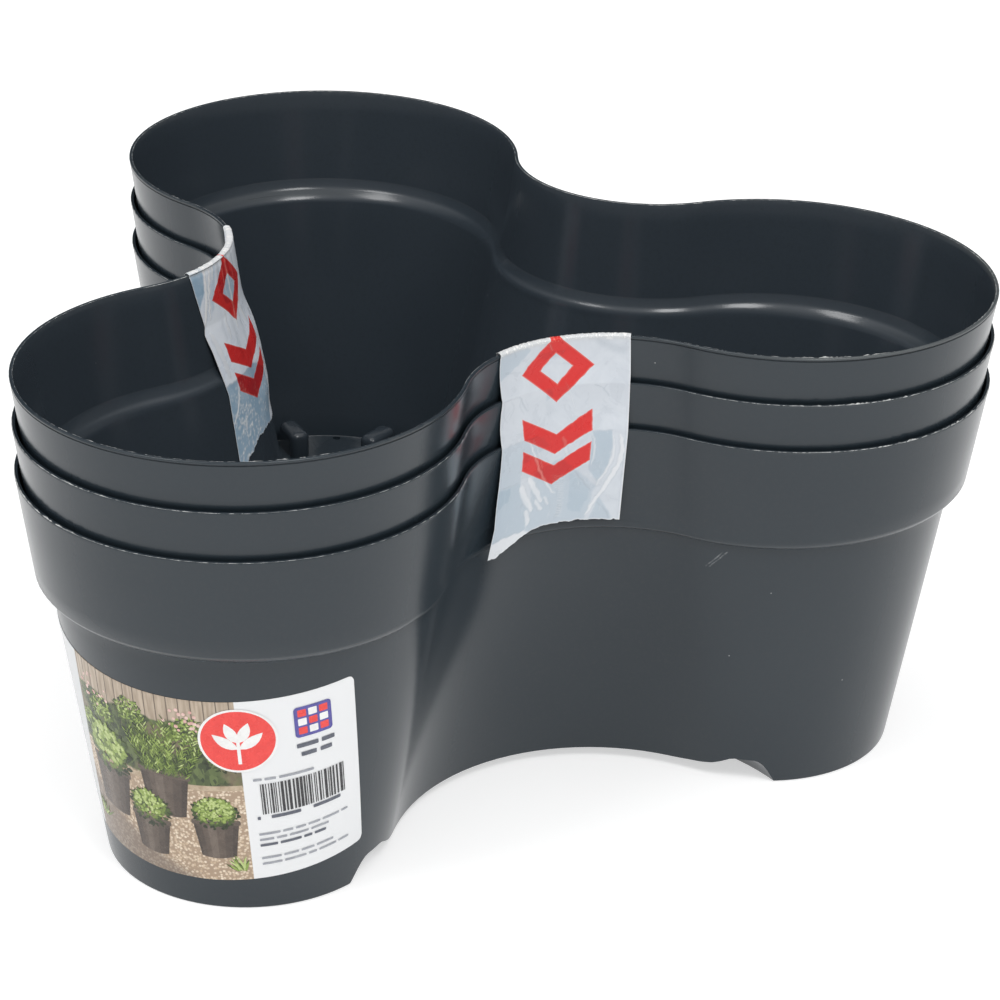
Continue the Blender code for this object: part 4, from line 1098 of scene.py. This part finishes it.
def label_ground_material():
    """Glossy coated paper: white at both sides, and a printed ground of pale gravel, a hedge and a
    plank fence between."""
    m = Look("printed_label_look")
    source = m.add("ShaderNodeUVMap", uv_map="label").outputs[0]
    split = m.add("ShaderNodeSeparateXYZ")
    m.put(split.inputs[0], source)
    x = m.math("MULTIPLY", m.math("SUBTRACT", split.outputs[0], 0.5), 200.0)      # millimetres
    y = m.math("MULTIPLY", split.outputs[1], 200.0)
    pebbles = m.voronoi(source, 190.0)
    shade = m.add("ShaderNodeSeparateColor")
    m.put(shade.inputs[0], pebbles.outputs["Color"])
    gravel = m.mix(shade.outputs[0], (0.56, 0.42, 0.285), (0.84, 0.72, 0.57))
    gravel = m.mix(m.span(pebbles.outputs["Distance"], 0.30, 0.65), gravel, (0.40, 0.29, 0.20))
    cast = m.math("ADD", y, m.math("MULTIPLY", m.math("ADD", x, m.math("MULTIPLY", m.noise(source, 10.0, 2.0), 8.0)), 0.55))
    gravel = m.mix(m.span(cast, 4.0, 12.0, 0.72, 0.0), gravel, (0.155, 0.120, 0.100))
    leafy = m.voronoi(m.coords("UV", (1.0, 0.6, 1.0)), 150.0)
    tint = m.add("ShaderNodeSeparateColor")
    m.put(tint.inputs[0], leafy.outputs["Color"])
    hedge = m.mix(tint.outputs[0], (0.022, 0.038, 0.014), (0.130, 0.175, 0.055))
    hedge = m.mix(m.span(m.noise(source, 18.0, 3.0), 0.50, 0.66, 0.0, 0.7), hedge, (0.215, 0.160, 0.105))
    plank = m.math("FRACT", m.math("DIVIDE", m.math("ADD", x, 60.0), 4.4))
    grain = m.noise(m.coords("UV", (1.0, 0.10, 1.0)), 130.0, 3.0)
    fence = m.mix(m.span(grain, 0.3, 0.7), (0.36, 0.28, 0.205), (0.56, 0.46, 0.355))
    fence = m.mix(m.span(plank, 0.07, 0.13, 0.85, 0.0), fence, (0.10, 0.075, 0.055))
    wavy = m.math("ADD", y, m.math("MULTIPLY", m.math("SUBTRACT", m.noise(source, 12.0, 3.0), 0.5), 15.0))
    picture = m.mix(m.span(m.math("ADD", y, m.math("MULTIPLY", m.noise(source, 30.0, 2.0), 2.0)), 42.0, 43.6), gravel, hedge)
    picture = m.mix(m.span(wavy, 67.0, 68.4), picture, fence)
    white = (0.825, 0.836, 0.846)
    colour = m.mix(m.span(x, 29.9, 30.1, 0.0, 1.0, False), picture, white)
    colour = m.mix(m.span(x, -38.75, -38.45, 1.0, 0.0, False), colour, (0.690, 0.705, 0.718))
    colour = m.mix(m.math("MULTIPLY", m.span(x, -39.3, -38.9, 0.0, 1.0), m.span(x, -38.7, -38.5, 0.20, 0.0)), colour, (0.46, 0.47, 0.47))
    m.set(Base_Color=colour, Roughness=0.27)
    m.shader.inputs["IOR"].default_value = 1.5
    return m.mat


def ink(name, low, high, scale=60.0, rough=0.27):
    """A printed colour with a little variation of its own."""
    m = Look(name)
    source = m.coords()
    m.set(Base_Color=m.mix(m.span(m.noise(source, scale * 5.0, 3.0, 0.6), 0.3, 0.7), low, high), Roughness=m.span(m.noise(source, 400.0, 2.0), 0.3, 0.7, rough - 0.03, rough + 0.04))
    return m.mat


class Print:
    """Flat printed shapes on the label, in layers: a later layer lies over an earlier one."""

    def __init__(self):
        self.bm = bmesh.new()
        self.slots = []

    def slot(self, mat):
        if mat not in self.slots:
            self.slots.append(mat)
        return self.slots.index(mat)

    def height(self, layer):
        return 0.00011 + 0.000012 * (layer + 1)

    def mesh_strip(self, left, right, layer, mat):
        """A ribbon between two lists of (x, y)."""
        off, k = self.height(layer), self.slot(mat)
        n = max(1, math.ceil(max(math.dist(p, q) for p, q in zip(left, right)) / 0.0014))
        rows = [[self.bm.verts.new(on_label(lerp(p[0], q[0], j / n), lerp(p[1], q[1], j / n), off)) for j in range(n + 1)] for p, q in zip(left, right)]
        for low, high in zip(rows, rows[1:]):
            for j in range(n):
                self.bm.faces.new((low[j], low[j + 1], high[j + 1], high[j])).material_index = k

    def disc(self, cx, cy, radius, layer, mat, n=48):
        rings = max(1, math.ceil(radius / 0.0012))
        off, k = self.height(layer), self.slot(mat)
        c = self.bm.verts.new(on_label(cx, cy, off))
        before = None
        for j in range(1, rings + 1):
            now = [self.bm.verts.new(on_label(cx + radius * j / rings * math.cos(2 * math.pi * i / n),
                                              cy + radius * j / rings * math.sin(2 * math.pi * i / n), off)) for i in range(n)]
            for i in range(n):
                if before is None:
                    self.bm.faces.new((c, now[i], now[(i + 1) % n])).material_index = k
                else:
                    self.bm.faces.new((before[i], now[i], now[(i + 1) % n], before[(i + 1) % n])).material_index = k
            before = now

    def panel(self, x0, y0, x1, y1, layer, mat, corner=0.0, step=0.0014):
        n = max(1, math.ceil((x1 - x0) / step))
        left, right = [], []
        xs = [x0 + (x1 - x0) * i / n for i in range(n + 1)]
        if corner:
            extra = [corner * (1 - math.cos(math.pi * i / 12)) for i in range(1, 6)]
            xs = sorted(set(xs + [x0 + e for e in extra] + [x1 - e for e in extra]))
        for x in xs:
            e = min(x - x0, x1 - x)
            c = corner - math.sqrt(max(0.0, corner ** 2 - (corner - e) ** 2)) if e < corner else 0.0
            left.append((x, y0 + c))
            right.append((x, y1 - c))
        self.mesh_strip(right, left, layer, mat)

    def leaf(self, x, y, angle, length, width, layer, mat, bend=0.0, tip=0.5):
        """A pointed leaf from its stalk at (x, y)."""
        n = 6 if length > 0.003 else 4
        left, right = [], []
        for i in range(n + 1):
            s = i / n
            a = angle + bend * s
            px = x + length * s * math.cos(angle + bend * s * 0.5)
            py = y + length * s * math.sin(angle + bend * s * 0.5)
            w = width / 2.0 * math.sin(math.pi * s ** (0.7 if tip < 0.5 else 0.9)) ** 0.85 if 0 < i < n else 0.00004
            left.append((px - w * math.sin(a), py + w * math.cos(a)))
            right.append((px + w * math.sin(a), py - w * math.cos(a)))
        self.mesh_strip(left, right, layer, mat)

    def finish(self, name):
        bmesh.ops.recalc_face_normals(self.bm, faces=self.bm.faces)
        for f in self.bm.faces:
            # every printed face looks outwards from the lobe's axis
            c = f.calc_center_median()
            if f.normal.dot(Vector((c.x, c.y + 0.1215 - AXIS_Y, 0.0))) < 0.0:
                f.normal_flip()
        obj = new_object(name, mesh_from(self.bm, name))
        for mat in self.slots:
            obj.data.materials.append(mat)
        obj.data.shade_smooth()
        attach(obj, "bottom_pot_body")
        return obj


def label_print():
    rng = random.Random(7)
    art = Print()
    greens = [ink("leaf_shadow_ink", (0.012, 0.022, 0.007), (0.028, 0.042, 0.012)),
              ink("leaf_deep_ink", (0.044, 0.076, 0.015), (0.078, 0.120, 0.024)),
              ink("leaf_mid_ink", (0.115, 0.175, 0.030), (0.175, 0.245, 0.048)),
              ink("leaf_light_ink", (0.240, 0.335, 0.068), (0.325, 0.430, 0.105)),
              ink("leaf_bright_ink", (0.430, 0.535, 0.180), (0.550, 0.640, 0.270))]
    tub_shade = ink("tub_shade_ink", (0.052, 0.038, 0.031), (0.072, 0.054, 0.044))
    tub_mid = ink("tub_mid_ink", (0.098, 0.073, 0.057), (0.128, 0.097, 0.077))
    tub_soft = ink("tub_soft_ink", (0.074, 0.055, 0.044), (0.098, 0.074, 0.059))
    tub_light = ink("tub_light_ink", (0.135, 0.104, 0.083), (0.170, 0.134, 0.108))
    timber = ink("timber_ink", (0.40, 0.30, 0.20), (0.56, 0.45, 0.32))
    white = ink("white_ink", (0.84, 0.84, 0.83), (0.90, 0.90, 0.89))
    red = ink("red_ink", (0.80, 0.052, 0.045), (0.88, 0.066, 0.056))
    blue = ink("blue_ink", (0.080, 0.072, 0.31), (0.100, 0.090, 0.37))
    black = ink("black_ink", (0.022, 0.022, 0.026), (0.040, 0.040, 0.044))
    slate = ink("slate_ink", (0.085, 0.095, 0.125), (0.125, 0.135, 0.170))
    grey = ink("grey_ink", (0.30, 0.315, 0.355), (0.40, 0.415, 0.450))
    petal = ink("petal_ink", (0.66, 0.36, 0.32), (0.84, 0.62, 0.56))
    left, right = MARGIN_X + 0.0002, PANEL_X - 0.0002

    def inside(x, y, reach):
        x = min(max(x, left + reach), right - reach)
        y = min(max(y, reach + 0.0002), LABEL_H - reach - 0.0002)
        return x, y

    def shrub(cx, cy, radius, count, length, width, squash=0.8, layer=0, fan=0.7):
        """A mound of leaves, the dark ones low and deep, the bright ones small and on top."""
        for tone in range(5):
            share = (1.0, 1.0, 0.9, 0.7, 0.35)[tone]
            for _ in range(int(count * share)):
                a = rng.uniform(-math.pi, math.pi)
                rr = radius * math.sqrt(rng.random()) * (1.0 - 0.07 * tone)
                x, y = cx + rr * math.cos(a), cy + rr * squash * math.sin(a) + 0.0005 * tone
                l = length * rng.uniform(0.6, 1.1) * (1.0 - 0.08 * tone)
                x, y = inside(x, y, l)
                outward = math.atan2(y - cy + 0.5 * radius, x - cx)
                art.leaf(x, y, outward + rng.uniform(-fan, fan), l, width * rng.uniform(0.7, 1.2), layer + tone, greens[tone], rng.uniform(-0.5, 0.5))

    def sprigs(cx, foot, spread, tall, count, length, width, layer):
        """Upright stems set with narrow leaves."""
        for k in range(count):
            x = cx + rng.uniform(-0.5, 0.5) * spread
            lean = (x - cx) / spread * 1.0 + rng.uniform(-0.15, 0.15)
            high = tall * rng.uniform(0.55, 1.0) * (1.0 - 0.5 * abs(x - cx) / spread)
            for j in range(int(high / 0.0009)):
                t = j * 0.0009
                px, py = x + math.sin(lean) * t, foot + math.cos(lean) * t
                side = 1.0 if j % 2 else -1.0
                a = math.pi / 2 - lean + side * rng.uniform(0.35, 0.8)
                tone = min(4, max(0, int(rng.gauss(1.5 + 2.2 * t / tall, 0.9))))
                px, py = inside(px, py, length)
                art.leaf(px, py, a, length * rng.uniform(0.7, 1.1), width, layer + tone, greens[tone])

    def tub(cx, foot, wide, tall, layer):
        n = 16
        sag = lambda s: 0.0011 * (1 - (2 * s - 1) ** 2)
        for i in range(n):
            s0, s1 = i / n, (i + 1) / n
            x0t, x1t = cx + wide * (s0 - 0.5), cx + wide * (s1 - 0.5)
            x0b, x1b = cx + wide * 0.76 * (s0 - 0.5), cx + wide * 0.76 * (s1 - 0.5)
            mat = tub_shade if i < 1 or i > 13 else tub_soft if i < 3 or i > 10 else tub_light if 5 <= i <= 7 else tub_mid
            art.mesh_strip([(x0t, foot + tall), (x0b, foot - sag(s0))], [(x1t, foot + tall), (x1b, foot - sag(s1))], layer, mat)
        art.panel(cx - wide * 0.54, foot + tall - 0.0003, cx + wide * 0.54, foot + tall + 0.0018, layer + 1, tub_mid, 0.0007)
        art.panel(cx - wide * 0.53, foot + tall + 0.0013, cx + wide * 0.53, foot + tall + 0.0018, layer + 2, tub_light, 0.0002)

    # background: hedge tufts and small flowers against the fence, and a timber edging
    plank = [(lerp(-0.0384, 0.0298, i / 60), lerp(0.0405, 0.0425, i / 60)) for i in range(61)]
    art.mesh_strip(plank, [(x, y - 0.0022) for x, y in plank], 0, timber)
    for cx, cy, radius, count in ((-0.034, 0.050, 0.0050, 60), (-0.025, 0.060, 0.0070, 70), (-0.010, 0.066, 0.0070, 60), (0.013, 0.063, 0.0080, 80), (0.024, 0.054, 0.0060, 60)):
        shrub(cx, cy, radius, count, 0.0020, 0.0008, 0.9, 0, 1.5)
    for _ in range(64):
        cx, cy, radius = rng.choice(((-0.029, 0.068, 0.0085), (0.011, 0.070, 0.0075), (0.022, 0.060, 0.0060)))
        a, r = rng.uniform(0, 6.3), radius * math.sqrt(rng.random())
        art.disc(*inside(cx + r * math.cos(a), cy + r * 0.8 * math.sin(a), 0.0010), rng.uniform(0.0004, 0.0008), 5, petal, 10)
    # four tubs standing on the gravel
    tub(0.0015, 0.0270, 0.0190, 0.0165, 3)
    sprigs(0.0015, 0.0440, 0.0190, 0.0270, 34, 0.0026, 0.00050, 4)
    tub(-0.0240, 0.0180, 0.0200, 0.0180, 4)
    shrub(-0.0240, 0.0445, 0.0110, 110, 0.0036, 0.0021, 0.85, 5)
    tub(0.0190, 0.0110, 0.0160, 0.0140, 5)
    shrub(0.0190, 0.0300, 0.0080, 190, 0.0015, 0.0012, 0.80, 6, 1.6)
    tub(-0.0060, 0.0080, 0.0155, 0.0135, 6)
    shrub(-0.0060, 0.0270, 0.0078, 110, 0.0024, 0.0012, 0.85, 7, 1.0)
    for cx, cy, n in ((-0.0340, 0.008, 26), (0.0270, 0.004, 22)):
        for i in range(n):                                   # tufts of long blades
            a = math.pi / 2 + rng.uniform(-1.1, 1.1)
            l = rng.uniform(0.004, 0.008)
            x, y = cx + rng.uniform(-0.002, 0.002), cy
            if left < x + l * math.cos(a) < right:
                art.leaf(x, y, a, l, 0.0008, 7 + i % 4, greens[1 + i % 4], rng.uniform(-0.4, 0.4))

    # roundel with a plain sprout
    art.disc(0.0300, 0.0620, 0.0136, 13, white, 64)
    art.disc(0.0300, 0.0620, 0.0127, 14, red, 64)
    for angle, length, x, y in ((30, 0.0105, 0.0302, 0.0585), (150, 0.0105, 0.0298, 0.0585), (58, 0.0092, 0.0301, 0.0612), (122, 0.0092, 0.0299, 0.0612)):
        art.leaf(x, y, math.radians(angle), length, 0.0040, 15, white, 0.25 if angle < 90 else -0.25)
    art.mesh_strip([(0.0294, 0.0520), (0.0294, 0.0620)], [(0.0306, 0.0520), (0.0306, 0.0620)], 15, white)

    # small mosaic tile
    tx, ty, half = 0.0560, 0.0662, 0.0066
    art.panel(tx - half, ty - half, tx + half, ty + half, 13, blue, 0.0014)
    for i in range(3):
        for j in range(3):
            x, y = tx + 0.0038 * (i - 1), ty + 0.0038 * (j - 1)
            art.panel(x - 0.0015, y - 0.0015, x + 0.0015, y + 0.0015, 14, white if (i + j) % 2 else red, 0.0003)

    # plain bars of several widths, and rows of plain dashes
    x = 0.0356
    while x < 0.0652:
        wide = rng.choice((0.00033, 0.00033, 0.00066, 0.00099))
        art.panel(x, 0.0288, x + wide, 0.0423, 13, black)
        x += wide + rng.choice((0.00033, 0.00045, 0.00066))
    rows = [(0.0551, 0.0018, slate, ((0.0495, 0.0571), (0.0583, 0.0630))), (0.0512, 0.0018, slate, ((0.0508, 0.0562), (0.0576, 0.0618))),
            (0.0439, 0.0010, grey, ((0.0335, 0.0365), (0.0374, 0.0413), (0.0424, 0.0546))),
            (0.0266, 0.0014, slate, ((0.0336, 0.0347), (0.0384, 0.0487), (0.0532, 0.0635)))]
    for y, ends, tall, mat in ((0.0195, 0.0660, 0.0009, grey), (0.0170, 0.0610, 0.0009, grey), (0.0144, 0.0570, 0.0011, slate), (0.0086, 0.0595, 0.0009, grey), (0.0060, 0.0660, 0.0009, grey)):
        x, spans = 0.0335, []
        while x < ends - 0.002:
            end = min(ends, x + rng.uniform(0.0028, 0.0080))
            spans.append((x, end))
            x = end + 0.0009
        rows.append((y, tall, mat, spans))
    for y, tall, mat, spans in rows:
        for x0, x1 in spans:
            art.panel(x0, y, x1, y + tall, 13, mat, 0.0003)
    art.finish("label_print")


label_sheet()
label_print()


# ---------------------------------------------------------------- floor, light and camera
def stage_floor():
    bm = bmesh.new()
    bmesh.ops.create_grid(bm, x_segments=2, y_segments=2, size=22.0)
    floor = new_object("studio_floor", mesh_from(bm, "studio_floor"))
    floor.location.z = -0.0002
    m = Look("studio_floor_look")
    m.set(Base_Color=(0.62, 0.62, 0.62), Roughness=0.9)
    m.shader.inputs["Emission Color"].default_value = (1.0, 1.0, 1.0, 1.0)
    m.shader.inputs["Emission Strength"].default_value = 0.56
    floor.data.materials.append(m.mat)


def softbox(name, place, target, size, power, colour=(1.0, 1.0, 1.0)):
    light = bpy.data.lights.new(name, "AREA")
    light.shape, light.size, light.size_y = "RECTANGLE", size[0], size[1]
    light.energy, light.color = power, colour
    obj = bpy.data.objects.new(name, light)
    obj.location = place
    obj.rotation_mode = "QUATERNION"
    obj.rotation_quaternion = (Vector(target) - Vector(place)).to_track_quat("-Z", "Y")
    bpy.context.scene.collection.objects.link(obj)
    return obj


def studio():
    world = bpy.data.worlds.new("studio")
    world.use_nodes = True
    background = world.node_tree.nodes["Background"]
    # brightest overhead, dimmer towards the walls and darkest low down behind the object
    tree = world.node_tree
    where = tree.nodes.new("ShaderNodeTexCoord").outputs["Generated"]
    behind = tree.nodes.new("ShaderNodeVectorMath")
    behind.operation = "DOT_PRODUCT"
    tree.links.new(where, behind.inputs[0])
    behind.inputs[1].default_value = (-0.558, 0.830, 0.0)
    fall = tree.nodes.new("ShaderNodeMapRange")
    fall.interpolation_type = "SMOOTHSTEP"
    tree.links.new(behind.outputs["Value"], fall.inputs["Value"])
    for key, value in (("From Min", 0.25), ("From Max", 0.80), ("To Min", 1.0), ("To Max", 0.12)):
        fall.inputs[key].default_value = value
    split = tree.nodes.new("ShaderNodeSeparateXYZ")
    tree.links.new(where, split.inputs[0])
    rise = tree.nodes.new("ShaderNodeMapRange")
    rise.interpolation_type = "SMOOTHSTEP"
    tree.links.new(split.outputs["Z"], rise.inputs["Value"])
    for key, value in (("From Min", 0.38), ("From Max", 0.95), ("To Min", 0.24), ("To Max", 1.42)):
        rise.inputs[key].default_value = value
    both = tree.nodes.new("ShaderNodeMath")
    both.operation = "MULTIPLY"
    tree.links.new(fall.outputs[0], both.inputs[0])
    tree.links.new(rise.outputs[0], both.inputs[1])
    tree.links.new(both.outputs[0], background.inputs["Strength"])
    background.inputs["Color"].default_value = (1.0, 1.0, 1.0, 1.0)
    bpy.context.scene.world = world
    # two softboxes high in front, to either side of the camera
    for name, azimuth, height, reach, size, radiance in (("key_right", -27.0, 53.0, 2.2, 0.62, 11.0), ("key_left", -108.0, 55.0, 2.3, 0.66, 8.5)):
        a, e = math.radians(azimuth), math.radians(height)
        place = (reach * math.cos(e) * math.cos(a), reach * math.cos(e) * math.sin(a) + AXIS_Y, reach * math.sin(e) + 0.15)
        softbox(name, place, (0, AXIS_Y, 0.12), (size, size), math.pi * size * size * radiance)
    scene = bpy.context.scene
    scene.view_settings.view_transform = "Standard"
    scene.view_settings.look = "None"
    scene.view_settings.exposure = 0.0
    scene.view_settings.gamma = 1.0


def camera():
    az, el, roll = math.radians(33.908), math.radians(26.328), math.radians(1.398)
    back = Vector((math.sin(az) * math.cos(el), -math.cos(az) * math.cos(el), math.sin(el)))
    forward = -back
    right = forward.cross(Vector((0, 0, 1))).normalized()
    up = right.cross(forward)
    r2 = right * math.cos(roll) + up * math.sin(roll)
    u2 = -right * math.sin(roll) + up * math.cos(roll)
    data = bpy.data.cameras.new("camera")
    data.lens, data.sensor_width, data.sensor_fit = 2975.52 * 36.0 / 1000.0, 36.0, "AUTO"
    data.clip_start, data.clip_end = 0.05, 50.0
    obj = bpy.data.objects.new("camera", data)
    obj.matrix_world = Matrix(((r2.x, u2.x, back.x, 0.585820), (r2.y, u2.y, back.y, -0.835665 + AXIS_Y),
                               (r2.z, u2.z, back.z, 0.590723), (0, 0, 0, 1)))
    bpy.context.scene.collection.objects.link(obj)
    bpy.context.scene.camera = obj


stage_floor()
studio()
camera()
